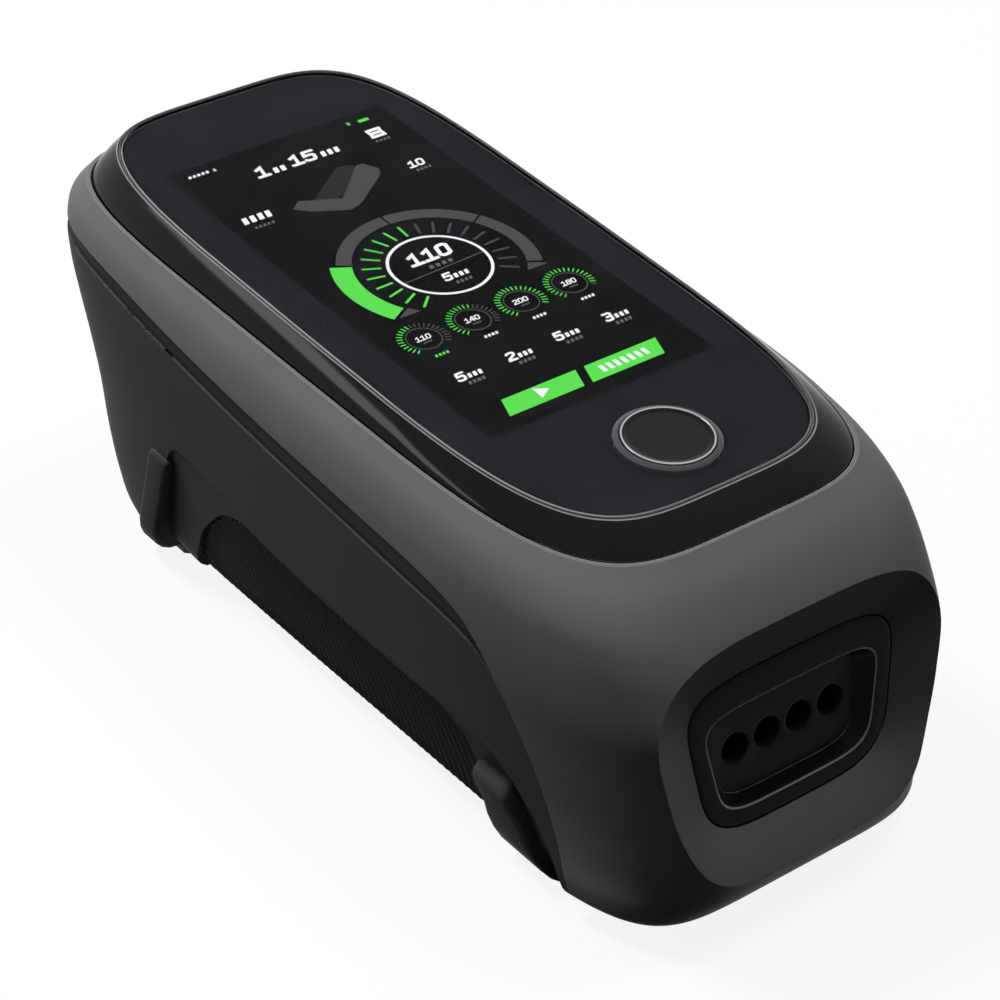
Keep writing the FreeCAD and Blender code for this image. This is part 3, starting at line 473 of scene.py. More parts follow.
def makeBody():
    above, under = panelSides()
    inside = body["stations"][0][0] + body["wall"]
    core = bodySkin("core", body["wall"], inside, openTop=True, lean=body["padLean"])
    combine(core, dish("dishBack", body["wall"]))
    outer = combine(bodySkin("outer"), dish("dishFront"))
    combine(outer, core, keepTool=True)
    opening = skin("opening", [faceRing("frame", 12.0), faceRing("frame", -2.0)])
    combine(outer, opening)
    lower = copyOf(outer, "lowerHousing")
    aboveTool = slab("aboveSide", above)
    bandTool = combine(copyOf(aboveTool, "bandSide"), slab("underSide", under), "INTERSECT")
    shell = combine(outer, aboveTool, "INTERSECT", keepTool=True)
    shell.name = "upperShell"
    combine(shell, bandTool, keepTool=True)
    last = body["stations"][-1]
    rebate = [planRing(last, body["lipWidth"], lift) for lift in (-body["lipDepth"], 5.0)]
    combine(shell, skin("rebate", rebate))
    combine(lower, aboveTool)
    band = combine(bodySkin("trimBand", body["bandInset"]), bandTool, "INTERSECT")
    combine(band, core)
    print("shell, band and lower housing cut")
    return shell, band, lower


def makeStep(lower):
    # the wall steps back under the ridge, between the lugs
    side = smoothCurve(body["ridgeLine"]) + [body["stepRear"]]
    core = bodySkin("stepCore", body["beltInset"], 3.0, lean=body["beltLean"])
    combine(lower, combine(slab("stepSide", side), core))
    floor = bodySkin("padFloor", body["beltInset"] + body["padSink"], 3.0, lean=body["padLean"])
    return combine(lower, combine(slab("padRecess", padSide()), floor))


def padSide():
    top = [(y, z - body["padDrop"]) for y, z in body["ridgeLine"][5:10]]
    return smoothCurve(body["padRear"] + top + body["padFront"])


# outer top, outer low, top; side corners front low, rear low, rear top, front top; rounding of the edges
lugs = {
    "rear": (50.6, 48.8, 39.5, 70.5, 79.0, 64.5, 55.5, 2.0),
    "front": (48.9, 47.2, 23.5, -84.5, -66.0, -58.0, -69.0, 2.6),
}


def makeLug(name, side):
    outerTop, outerLow, top, frontLow, rearLow, rearTop, frontTop, rounding = lugs[name]
    foot = 1.6
    turn = 13.4
    inner = 33.0
    arc = [(outerLow - 0.62 * turn * (1 - math.cos(a)), foot + turn * (1 - math.sin(a)))
           for a in np.linspace(0, math.pi / 2, 7)]
    profile = [(inner, top), (outerTop - 2.5, top), (outerTop, top - 2.0)] + arc + [(inner, foot)]
    rings = []
    for ends in ((rearLow, rearTop), (frontLow, frontTop)):
        y = [ends[0] + (ends[1] - ends[0]) * z / top for x, z in profile]
        rings.append(np.array([(side * x, v, z) for (x, z), v in zip(profile, y)]))
    piece = skin("lug", rings if side > 0 else rings[::-1])
    step = piece.modifiers.new("edges", "BEVEL")
    step.width = rounding
    step.segments = 4
    step.limit_method = "ANGLE"
    step.angle_limit = math.radians(35)
    return evaluated(piece)


openings = {
    "screws": [(28.0, -81.0), (32.0, 86.0)],
    "wellRadius": 3.0,
    "wellTop": 8.0,
    "inletRadius": 5.0,
    "inletHeight": 30.0,
    "ventHalf": (18.0, 6.5),
    "ventCorner": 3.0,
    "ventHeight": 50.0,
    "outside": 130.0,
    "inside": 98.0,
}


def circle(radius, centre=(0.0, 0.0), steps=48):
    turns = np.linspace(0, 2 * math.pi, steps, endpoint=False)
    return [(centre[0] + radius * math.cos(a), centre[1] + radius * math.sin(a)) for a in turns]


def cutOpenings(lower):
    # screw wells underneath, power inlet and air outlet in the rear wall
    for x, y in openings["screws"]:
        for side in (-1, 1):
            ring = circle(openings["wellRadius"], (side * x, y))
            combine(lower, skin("well", [[(a, b, z) for a, b in ring] for z in (2.0, openings["wellTop"])]))
    wide, tall = openings["ventHalf"]
    cut = openings["ventCorner"]
    plate = [(wide, cut - tall), (wide, tall - cut), (wide - cut, tall), (cut - wide, tall),
             (-wide, tall - cut), (-wide, cut - tall), (cut - wide, -tall), (wide - cut, -tall)]
    inlet = circle(openings["inletRadius"])
    for outline, height in ((inlet, openings["inletHeight"]), (plate, openings["ventHeight"])):
        rings = [[(x, y, height + z) for x, z in outline] for y in (openings["outside"], openings["inside"])]
        combine(lower, skin("rearOpening", rings))
    return lower


def joinPieces(pieces, name):
    bpy.ops.object.select_all(action="DESELECT")
    for piece in pieces:
        piece.select_set(True)
    bpy.context.view_layer.objects.active = pieces[0]
    bpy.ops.object.join()
    pieces[0].name = name
    return pieces[0]


shell, band, lower = makeBody()
lower = cutOpenings(makeStep(lower))
lower = joinPieces([lower] + [makeLug(name, side) for name in lugs for side in (-1, 1)], "lowerHousing")
finish(shell, finishes["shellGrey"])
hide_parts("upper_shell")
finish(band, finishes["trimDark"])
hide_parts("trim_band")
finish(lower, finishes["housingDark"])
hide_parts("lower_housing")
print("body done")


pads = {
    "thickness": 1.0,
    "ribCount": 54,
    "pitch": 2.45,
    "front": -62.0,
    "ribWidth": 1.15,
    "ribHeight": 0.22,
    "ribRounding": 0.15,
    "ribLean": 18.0,
    "ribSteps": 40,
    "startSide": 70.0,
    "startTop": 46.0,
    "lineLength": 44.0,
    "rayLength": 60.0,
}


def makePadWall():
    # both pads in one closed skin, lying in the recess of the stepped wall
    inset = body["beltInset"]
    front = bodySkin("padSkin", inset, lean=body["padLean"])
    wall = combine(slab("padSide", padSide()), front, "INTERSECT")
    return combine(wall, bodySkin("padCore", inset + pads["thickness"], 4.0, lean=body["padLean"]))


def makeTree(name, inputs):
    # a geometry tree with named inputs
    tree = bpy.data.node_groups.new(name, "GeometryNodeTree")
    sockets = {}
    for label, (kind, value) in inputs.items():
        sockets[label] = socket(tree, label, kind, "INPUT", value)
    socket(tree, "Geometry", "Geometry", "OUTPUT")
    return tree, sockets, addNode(tree, "NodeGroupInput").outputs


def closeTree(tree, geometry, finish):
    # the end of both trees: real copies, one material
    real = addNode(tree, "GeometryNodeRealizeInstances", {"Geometry": geometry}).outputs["Geometry"]
    paint = addNode(tree, "GeometryNodeSetMaterial", {"Geometry": real, "Material": finish})
    addNode(tree, "NodeGroupOutput", {"Geometry": paint.outputs["Geometry"]})


def makeRibTree():
    tree, sockets, given = makeTree("gripRibs", {
        "Wall": ("Object", None), "Count": ("Int", pads["ribCount"]), "Pitch": ("Float", pads["pitch"]),
        "Front": ("Float", pads["front"]), "Lean": ("Float", pads["ribLean"]), "Side": ("Float", 1.0),
        "Width": ("Float", 2 * pads["ribHeight"]), "Height": ("Float", pads["ribWidth"]),
        "Steps": ("Int", pads["ribSteps"]), "Finish": ("Material", None)})

    # one point for each rib, front to rear
    outward = calculate(tree, "MULTIPLY", given["Side"], pads["startSide"])
    grid = addNode(tree, "GeometryNodeMeshLine", {
        "Count": given["Count"], "Offset": vector(tree, Y=given["Pitch"]),
        "Start Location": vector(tree, X=outward, Y=given["Front"], Z=pads["startTop"])}, mode="OFFSET")

    # each rib starts as a line down the side
    lean = calculate(tree, "MULTIPLY", given["Lean"], -1.0)
    down = addNode(tree, "GeometryNodeCurvePrimitiveLine", {
        "Start": (0, 0, 0), "End": vector(tree, Y=lean, Z=-pads["lineLength"])})
    line = addNode(tree, "GeometryNodeResampleCurve", {
        "Count": given["Steps"], "Curve": down.outputs["Curve"]})
    copies = addNode(tree, "GeometryNodeInstanceOnPoints", {
        "Points": grid.outputs["Mesh"], "Instance": line.outputs["Curve"]})
    real = addNode(tree, "GeometryNodeRealizeInstances", {"Geometry": copies.outputs["Instances"]})

    # the lines are dropped onto the pad from the side, and what misses it goes
    wall = addNode(tree, "GeometryNodeObjectInfo", {"Object": given["Wall"]})
    inward = vector(tree, X=calculate(tree, "MULTIPLY", given["Side"], -1.0))
    ray = addNode(tree, "GeometryNodeRaycast", {
        "Target Geometry": wall.outputs["Geometry"], "Ray Direction": inward,
        "Ray Length": pads["rayLength"]})
    miss = addNode(tree, "FunctionNodeBooleanMath", {0: ray.outputs["Is Hit"]}, operation="NOT")
    store = addNode(tree, "GeometryNodeStoreNamedAttribute", {
        "Geometry": real.outputs["Geometry"], "Name": "off", "Value": miss.outputs[0]}, data_type="BOOLEAN")
    drop = addNode(tree, "GeometryNodeSetPosition", {
        "Geometry": store.outputs["Geometry"], "Position": ray.outputs["Hit Position"]})
    read = addNode(tree, "GeometryNodeInputNamedAttribute", {"Name": "off"}, data_type="BOOLEAN")
    keep = addNode(tree, "GeometryNodeDeleteGeometry", {
        "Geometry": drop.outputs["Geometry"], "Selection": read.outputs["Attribute"]})

    profile = addNode(tree, "GeometryNodeCurvePrimitiveQuadrilateral", {
        "Width": given["Width"], "Height": given["Height"]})
    rounded = addNode(tree, "GeometryNodeFilletCurve", {
        "Curve": profile.outputs["Curve"], "Count": 3, "Radius": pads["ribRounding"]}, mode="POLY")
    sweep = addNode(tree, "GeometryNodeCurveToMesh", {
        "Curve": keep.outputs["Geometry"], "Profile Curve": rounded.outputs["Curve"], "Fill Caps": True})
    closeTree(tree, sweep.outputs["Mesh"], given["Finish"])
    return tree, sockets


def grown(name, tree, sockets, values):
    piece = meshPiece(name, [(0, 0, 0)], [])
    step = piece.modifiers.new(name, "NODES")
    step.node_group = tree
    for key, value in values.items():
        step[sockets[key].identifier] = value
    return evaluated(piece)


padPiece = makePadWall()
ribTree, ribSockets = makeRibTree()
for label, side in (("left", -1.0), ("right", 1.0)):
    values = {"Wall": padPiece, "Side": side, "Finish": finishes["gripRubber"]}
    ribs = grown("gripRibs." + label, ribTree, ribSockets, values)
    finish(ribs, finishes["gripRubber"], sharp=50)
padPiece.name = "gripPads"
# the pad floor between the ribs is painted shade, much darker than the ribs
finish(padPiece, finishes["gripPaintedShade"])
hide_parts("grip_pad_left", "grip_pad_right")
print("grip pads done")


display = {
    "halfWidth": 41.2,
    "halfLength": 93.95,
    "centre": -7.45,
    "glassThick": 1.0,
    "bevel": 0.2,
    "gap": 0.2,
    "rim": 0.6,
    "seam": 0.35,
    "ledge": 4.0,
    "windowWidth": 62.0,
    "windowLength": 124.95,
    "squareness": (4.2, 4.6),
    "picture": (0.46, 0.55),       # the lit area sits a little to the rear right of the screen frame's origin
    "layer": -1.075,
    "sheet": 0.02,
}


def screenRing(grow, z):
    long = display["halfLength"] + grow
    flat = oval(display["halfWidth"] + grow, long, long, *display["squareness"], body["steps"])
    return turned([(x, y + display["centre"], z) for x, y in flat], screenTurn)


def makeBezel():
    middle = screenTurn @ Vector((0, display["centre"], 0))
    slope = math.tan(math.radians(screenTilt))
    frameWidth = display["gap"] + display["rim"]
    half = display["halfLength"] + frameWidth
    top = (middle.z + slope * (body["planCentre"] - middle.y), slope, display["halfWidth"] + frameWidth,
           middle.y - half, middle.y + half, *display["squareness"])
    last = body["stations"][-1]
    inset = body["lipWidth"] + display["seam"]
    foot = (last[0], last[1], last[2] - inset, last[3] + inset, last[4] - inset, last[5], last[6])
    rings = []
    for down in [*np.linspace(1.0, 0.03, 22), 0.0]:
        out = 1 - (1 - down) ** 1.35
        share = (down, down, out, out, out, down, down)
        row = [a + (b - a) * k for a, b, k in zip(top, foot, share)]
        rings.append(planRing(row, 0.0, 0.0, middle.y + (body["planCentre"] - middle.y) * down))
    skirt = planRing(foot, 0.0, -body["lipDepth"])
    gap, ledge = display["gap"], -display["ledge"]
    inner = [screenRing(grow, z) for grow, z in (
        (gap + 0.25, 0.06), (gap, -0.15), (gap, -1.35), (ledge, -1.35), (ledge, -3.35), (gap, -3.35),
        (gap, -7.0))]
    return skin("bezelFrame", [skirt] + rings + inner, closed=True)


def lathe(profile, centre, sides=96):
    # rings from a profile of (radius, height), bottom outside to top
    return [turned([(x, y, height) for x, y in circle(radius, centre, sides)], screenTurn)
            for radius, height in profile]


button = {
    "y": -83.0,
    "radius": 10.25,
    "rise": 0.9,
    "bottom": -1.2,
    "ring": 11.8,
    "play": 0.15,
}


def ringHole(play):
    # the hole of the light ring, through glass and print
    radius = button["ring"] + play
    return skin("hole", lathe([(radius, -3.0), (radius, 2.0)], (0, button["y"])))


def makeGlass():
    bevel = display["bevel"]
    rings = [screenRing(0.0, -display["glassThick"]), screenRing(0.0, -bevel), screenRing(-bevel, 0.0)]
    return combine(skin("coverGlass", rings), ringHole(0.05))


def plate(name, outline, z, thick):
    return skin(name, [turned([(x, y, level) for x, y in outline], screenTurn) for level in (z, z + thick)])


def rectangle(width, length, centre=(0, 0)):
    x, y = centre
    corners = ((1, -1), (1, 1), (-1, 1), (-1, -1))
    return [(x + across * width / 2, y + along * length / 2) for across, along in corners]


def makePrint():
    # black print on the back of the glass, with the window of the display left clear
    sheet = skin("glassPrint", [screenRing(-0.4, -1.045), screenRing(-0.4, -1.02)])
    clear = rectangle(display["windowWidth"], display["windowLength"], display["picture"])
    combine(sheet, plate("window", clear, -2.0, 4.0))
    return combine(sheet, ringHole(0.1))


def brighten(piece, spans, count):
    # the named spans between rings get a painted highlight, a lighter colour in a thin line
    piece.data.materials.append(finishes["paintedBrightLine"])
    for span in spans:
        for face in range(span * count, (span + 1) * count):
            piece.data.polygons[face].material_index = 1


bezel = finish(makeBezel(), finishes["bezelBlack"])
# painted highlight along the top of the bezel round the glass
brighten(bezel, [22], 4 * body["steps"])
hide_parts("bezel")
glass = finish(makeGlass(), finishes["coverGlass"])
glass.data.materials.append(finishes["glassEdgeHighlight"])
backTurn = screenTurn.inverted()
for face in glass.data.polygons:             # the ground chamfer round the edge, in a lighter colour: a painted highlight
    level = (backTurn @ (face.center / mm)).z
    if -0.9 * display["bevel"] < level < -0.1 * display["bevel"]:
        face.material_index = 1
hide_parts("cover_glass")
printLayer = finish(makePrint(), finishes["printBlack"])
print("bezel and glass done")


def makeButton():
    radius = button["radius"]
    rise = button["rise"]
    centre = (0, button["y"])
    disc = [(0.5, button["bottom"]), (radius - 0.45, button["bottom"]), (radius - 0.45, rise - 0.2)]
    for t in np.linspace(0, 1, 6):
        disc.append((radius - 1.0 - 0.6 * t, rise - 0.22 - 0.25 * math.sin(t * math.pi / 2)))
    disc += [(radius * k, rise - 0.47 - 0.03 * (1 - k)) for k in (0.7, 0.4, 0.05)]
    edge = [(radius - 0.4, -1.0), (radius, -1.0), (radius, rise - 0.3)]
    for a in np.linspace(0.2, math.pi / 2, 6):
        edge.append((radius - 0.3 + 0.3 * math.cos(a), rise - 0.3 + 0.3 * math.sin(a)))
    edge += [(radius - 0.42, rise - 0.04), (radius - 0.52, rise - 0.2), (radius - 0.4, rise - 0.3)]
    return skin("buttonCap", lathe(disc, centre)), skin("buttonRim", lathe(edge, centre), closed=True)


def makeLightRing():
    inner = button["radius"] + button["play"]
    outer = button["ring"]
    profile = [(inner, -3.3), (outer, -3.3), (outer, -0.1)]
    for t in np.linspace(0, 1, 8):
        profile.append((outer - (outer - inner - 0.15) * t, 0.02 + 0.5 * math.sin(t * math.pi / 2)))
    return skin("lightRing", lathe(profile + [(inner, 0.35)], (0, button["y"])), closed=True)


cap, rim = makeButton()
finish(cap, finishes["capBlack"], "button", sharp=50)
finish(rim, finishes["capRim"], "button", sharp=50)
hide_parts("home_button")
lightRing = finish(makeLightRing(), finishes["ringClear"], sharp=50)
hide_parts("button_light_ring")
print("button done")


def makePortFrame():
    d = port["dishDepth"]
    back = port["plateDepth"] - 0.1
    rings = [faceRing(*place) for place in (
        ("frame", 7.5, -0.2), ("frame", d + 0.35, -0.2), ("frame", d + 0.05, -0.3), ("frame", d - 0.15, -0.6),
        ("frame", d - 0.2, -1.1), ("rim", d - 0.2, 1.2), ("rim", d - 0.15, 0.6), ("rim", d + 0.05, 0.2),
        ("rim", d + 0.4, 0.0), ("plate", back, 0.25), ("plate", back, 0.6))]
    return skin("portFrame", rings, closed=True)


def portRings(number, profile, sides):
    # rings of (radius, depth) round the axis of one port
    centre = ((number - 1.5) * port["pitch"], port["rise"])
    return [turned([(x, depth, z) for x, z in circle(radius, centre, sides)], faceTurn)
            for radius, depth in profile][::-1]


def makePortBlock():
    half = port["plate"][0] + 4.5
    tall = port["plate"][1] + 3.5
    depth = port["plateDepth"]
    mouth, bore = port["mouth"], port["bore"]
    corners = [(half, tall), (-half, tall), (-half, -tall), (half, -tall)]
    rings = [turned([(x, d, port["rise"] + z) for x, z in corners], faceTurn) for d in (depth, depth + 2.0)]
    block = skin("portBlock", rings)
    profile = [(mouth + 0.25, -0.5), (mouth + 0.25, 0.0), (mouth, 0.06), (mouth - 0.12, 0.25),
               (bore + 0.12, 1.1), (bore, 1.9), (bore, 4.0)]
    for number in range(port["ports"]):
        combine(block, skin("mouth", portRings(number, [(radius, depth + d) for radius, d in profile], 64)))
    return block


def makeSockets():
    # short tubes behind the plate
    outside, front, back = 4.3, 9.5, 21.4
    profile = [(port["bore"], front), (outside, front), (outside, back), (port["bore"], back)]
    tubes = [skin("socket", portRings(number, profile, 48), closed=True) for number in range(port["ports"])]
    return joinPieces(tubes, "portSockets")


portFrame = finish(makePortFrame(), finishes["portBlack"], sharp=40)
# painted highlight along the edge of the port's recess rim
brighten(portFrame, [6], 4 * port["steps"])
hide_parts("port_frame")
portBlock = finish(makePortBlock(), finishes["portPlate"], sharp=40)
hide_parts("port_block")
sockets = finish(makeSockets(), finishes["portBlack"])
print("port end done")


# the display shows generic marks and plain numbers
picture = {
    "gauge": (0.56, -2.91),
    "ringRadius": 11.94,
    "ringWidth": 0.75,
    "tickInner": 13.5,
    "tickLength": 4.5,
    "tickWidth": 0.62,
    "tickTurn": (221.7, -36.2),      # degrees, first tick and last
    "arcInner": 20.0,
    "arcOuter": 23.6,
    "litOuter": 25.1,
    "smallRing": 4.05,
    "smallInner": 4.7,
    "smallLength": 1.4,
    "smallTicks": 24,
    "smallWidth": 0.3,
    "smallGauges": [((-20.3, -24.74), "110", 12), ((-6.81, -24.75), "140", 15), ((6.73, -24.82), "200", 24),
                    ((20.52, -24.86), "180", 23)],
    "holdNumbers": [((-22.43, -40.77), "5"), ((-8.6, -40.73), "2"), ((4.99, -40.22), "5"),
                    ((18.96, -40.39), "3")],
    # text, centre and height
    "numbers": [("110", (0.9, 1.75), 4.95), ("5", (-1.1, -7.86), 3.1), ("1", (-10.56, 52.02), 4.7),
                ("15", (1.08, 52.14), 4.7), ("10", (22.46, 35.71), 2.9), ("1", (-19.4, 58.8), 1.1)],
    # letters, centre, height and pitch
    "whiteWords": [(3, (2.4, -8.4), 1.6, 1.5), (2, (-6.3, 50.9), 2.2, 2.0), (3, (8.3, 51.0), 2.2, 1.9),
                   (4, (-22.9, 36.0), 2.6, 2.1), (5, (-23.8, 58.85), 0.95, 1.2)],
    "dimWords": [(4, (1.0, -2.7), 1.3, 1.75), (4, (1.4, -10.9), 1.1, 1.2), (4, (22.7, 32.9), 0.9, 1.15),
                 (5, (-23.1, 32.4), 0.9, 1.15), (4, (22.3, 48.8), 0.9, 1.15)],
    "keys": ((-20.42, -0.08), (2.31, 22.55)),
    "keyLevels": (-58.1, -52.3),
    "lean": 0.24,
    "keyLean": 0.364,
}

# each number's strokes on a grid 2 wide and 4 tall; True closes the stroke
digits = {
    "0": [([(0, 0.5), (0.5, 0), (1.5, 0), (2, 0.5), (2, 3.5), (1.5, 4), (0.5, 4), (0, 3.5)], True)],
    "1": [([(0.1, 3.2), (1.1, 4), (1.1, 0)], False), ([(0, 0), (2.1, 0)], False)],
    "2": [([(0, 3.6), (0.4, 4), (1.6, 4), (2, 3.6), (2, 2.6), (0, 0.7), (0, 0), (2.1, 0)], False)],
    "3": [([(0, 4), (1.6, 4), (2, 3.6), (2, 2.5), (1.5, 2.05), (0.8, 2.05)], False),
          ([(1.5, 2.05), (2, 1.6), (2, 0.4), (1.6, 0), (0.4, 0), (0, 0.4)], False)],
    "4": [([(1.6, 0), (1.6, 4), (1.2, 4), (0, 1.7), (0, 1.1), (2.3, 1.1)], False)],
    "5": [([(2, 4), (0.1, 4), (0, 2.3), (1.6, 2.3), (2, 1.9), (2, 0.4), (1.6, 0), (0.4, 0), (0, 0.4)],
           False)],
    "8": [([(0, 0.5), (0.5, 0), (1.5, 0), (2, 0.5), (2, 3.5), (1.5, 4), (0.5, 4), (0, 3.5)], True),
          ([(0, 2.05), (2, 2.05)], False)],
}


def shownAt(x, y):
    return x + display["picture"][0], y + display["picture"][1]


def flatPiece(name, outline, lift=0.0):
    shifted = [shownAt(x, y) for x, y in outline]
    return plate(name, shifted, display["layer"] + lift, display["sheet"])


def arcPiece(name, centre, inner, outer, start, end, steps=48):
    turns = np.radians(np.linspace(start, end, steps))
    outline = [(centre[0] + outer * math.cos(a), centre[1] + outer * math.sin(a)) for a in turns]
    outline += [(centre[0] + inner * math.cos(a), centre[1] + inner * math.sin(a)) for a in turns[::-1]]
    return flatPiece(name, outline)


def ringPiece(name, centre, inner, outer, sides=96):
    low = display["layer"]
    high = low + display["sheet"]
    profile = [(inner, low), (outer, low), (outer, high), (inner, high)]
    return skin(name, lathe(profile, shownAt(*centre), sides), closed=True)


def strokePiece(path, half, closed):
    # a flat line of even width along a path of (x, y) points
    path = [np.array(p, float) for p in path]
    count = len(path)
    rings = []
    low = display["layer"]
    high = low + display["sheet"]
    for i, here in enumerate(path):
        before = path[i - 1] if i > 0 or closed else 2 * here - path[1]
        after = path[(i + 1) % count] if i < count - 1 or closed else 2 * here - path[-2]
        come = (here - before) / np.linalg.norm(here - before)
        go = (after - here) / np.linalg.norm(after - here)
        side = np.array([-(come + go)[1], (come + go)[0]])
        side /= np.linalg.norm(side)
        side *= half / max(side @ np.array([-go[1], go[0]]), 0.5)
        if not closed and i in (0, count - 1):
            here = here + (go if i else -go) * half
        a, b = shownAt(*(here + side)), shownAt(*(here - side))
        rings.append(turned([(*a, low), (*a, high), (*b, high), (*b, low)], screenTurn))
    piece = skin("stroke", rings, closed)
    shape = bmesh.new()
    shape.from_mesh(piece.data)
    bmesh.ops.recalc_face_normals(shape, faces=shape.faces)
    shape.to_mesh(piece.data)
    return piece


def numberPieces(text, centre, height, wide=1.35, weight=0.52):
    space = 0.35
    unit = height / (4 + 2 * weight)
    advance = 2 * wide + 2 * weight + space
    width = advance * len(text) - space
    pieces = []
    for place, digit in enumerate(text):
        left = place * advance + weight - width / 2
        for path, closed in digits[digit]:
            spots = [(centre[0] + unit * (left + x * wide + picture["lean"] * (y - 2)),
                      centre[1] + unit * (y - 2)) for x, y in path]
            pieces.append(strokePiece(spots, weight * unit, closed))
    return pieces


def wordPieces(letters, centre, height, pitch):
    # a plain row of blocks where a word would stand
    half = 0.31 * pitch
    lean = picture["lean"] * height / 2
    low, high = centre[1] - height / 2, centre[1] + height / 2
    pieces = []
    for place in range(letters):
        x = centre[0] + (place - (letters - 1) / 2) * pitch
        corners = [(x - half - lean, low), (x + half - lean, low),
                   (x + half + lean, high), (x - half + lean, high)]
        pieces.append(flatPiece("block", corners))
    return pieces


def makeTickTree():
    # ticks set round a centre, each a thin plate
    tree, sockets, given = makeTree("gaugeTicks", {
        "Count": ("Int", 20), "Inner": ("Float", picture["tickInner"]),
        "Length": ("Float", picture["tickLength"]), "Width": ("Float", picture["tickWidth"]),
        "Start": ("Float", 0.0), "Step": ("Float", 0.2), "Finish": ("Material", None)})
    spots = addNode(tree, "GeometryNodeMeshLine", {
        "Offset": (0, 0, 0), "Count": given["Count"]}, mode="OFFSET")
    size = vector(tree, X=given["Length"], Y=given["Width"], Z=display["sheet"])
    tick = addNode(tree, "GeometryNodeMeshCube", {"Size": size})
    outward = calculate(tree, "MULTIPLY_ADD", given["Length"], 0.5, given["Inner"])
    move = addNode(tree, "GeometryNodeTransform", {
        "Geometry": tick.outputs["Mesh"], "Translation": vector(tree, X=outward)})
    number = addNode(tree, "GeometryNodeInputIndex").outputs[0]
    angle = calculate(tree, "MULTIPLY_ADD", number, given["Step"], given["Start"])
    copies = addNode(tree, "GeometryNodeInstanceOnPoints", {
        "Points": spots.outputs["Mesh"], "Instance": move.outputs["Geometry"],
        "Rotation": vector(tree, Z=angle)})
    closeTree(tree, copies.outputs["Instances"], given["Finish"])
    return tree, sockets


tickTree, tickSockets = makeTickTree()


def tickPiece(centre, count, first, last, size, finishName):
    step = (last - first) / max(count - 1, 1)
    inner, length, width = size
    piece = grown("ticks", tickTree, tickSockets, {
        "Count": count, "Inner": inner, "Length": length, "Width": width,
        "Start": math.radians(first), "Step": math.radians(step), "Finish": finishes[finishName]})
    x, y = shownAt(*centre)
    middle = display["layer"] + display["sheet"] / 2
    piece.data.transform(screenTurn @ Matrix.Translation((x, y, middle)))
    return piece


def addTicks(layers, centre, lit, count, size):
    # the first ticks are green, the rest grey
    first, last = picture["tickTurn"]
    each = (last - first) / (count - 1)
    layers["greenLight"].append(tickPiece(centre, lit, first, first + (lit - 1) * each, size, "greenLight"))
    if lit < count:
        rest = tickPiece(centre, count - lit, first + lit * each, last, size, "greyLight")
        layers["greyLight"].append(rest)


def makeGauges(layers):
    middle = picture["gauge"]
    ring = picture["ringRadius"]
    half = picture["ringWidth"] / 2
    inner = picture["arcInner"]
    layers["whiteLight"].append(ringPiece("ring", middle, ring - half, ring + half))
    addTicks(layers, middle, 11, 20, (picture["tickInner"], picture["tickLength"], picture["tickWidth"]))
    for start, end in ((148.3, 89.2), (87.8, 31.0), (29.6, -28.6)):
        layers["greyLight"].append(arcPiece("arc", middle, inner, picture["arcOuter"], start, end))
    layers["greenLight"].append(arcPiece("arc", middle, inner, picture["litOuter"], 209.3, 150.3))
    tips = ([(-20.2, -15.46), (-14.32, -15.67), (-16.15, -13.24)],
            [(15.81, -15.62), (21.81, -15.7), (17.81, -13.1)])
    layers["greyLight"] += [flatPiece("tip", tip) for tip in tips]
    small = picture["smallRing"]
    size = (picture["smallInner"], picture["smallLength"], picture["smallWidth"])
    for centre, text, lit in picture["smallGauges"]:
        x, y = centre
        addTicks(layers, centre, lit, picture["smallTicks"], size)
        layers["greyLight"].append(ringPiece("ring", centre, small - 0.13, small + 0.13, 64))
        layers["whiteLight"] += numberPieces(text, (x, y + 0.35), 1.75, 1.3, 0.4)
        layers["dimLight"] += wordPieces(4, (x, y - 1.5), 0.5, 0.6)
        name = "greenLight" if lit == 12 else "whiteLight"
        layers[name] += wordPieces(4, (x - 0.2, -31.6), 0.9, 1.0)


def makeSleeves(layers):
    # plain outline of a pair of leg sleeves
    back = [(-7.4, 35.2), (-4.5, 32.6), (0.5, 33.4), (9.4, 41.6), (8.8, 43.3), (5.4, 44.3)]
    front = [(-14.0, 34.4), (-10.9, 31.2), (-2.6, 26.9), (1.1, 28.1), (12.1, 35.9), (13.6, 38.4),
             (11.6, 42.3), (9.8, 42.4), (-1.4, 32.2), (-7.6, 35.0), (-10.9, 36.6)]
    layers["dimGrey"].append(flatPiece("sleeve", back))
    for part in (front[:3] + front[8:], [front[2], front[3], front[8]], front[3:9]):
        layers["greyLight"].append(flatPiece("sleeve", part, 0.03))


def makeKeys(white, green):
    low, high = picture["keyLevels"]
    lean = picture["keyLean"] * (high - low)
    for left, right in picture["keys"]:
        green.append(flatPiece("key", [(left - lean, low), (right - lean, low), (right, high), (left, high)]))
    white.append(flatPiece("play", [(-12.5, -56.6), (-9.2, -54.6), (-12.4, -52.8)], 0.03))
    white += [flatPiece("bar", rectangle(1.1, 2.4, (x, -55.2)), 0.03) for x in np.linspace(5.3, 17.3, 7)]


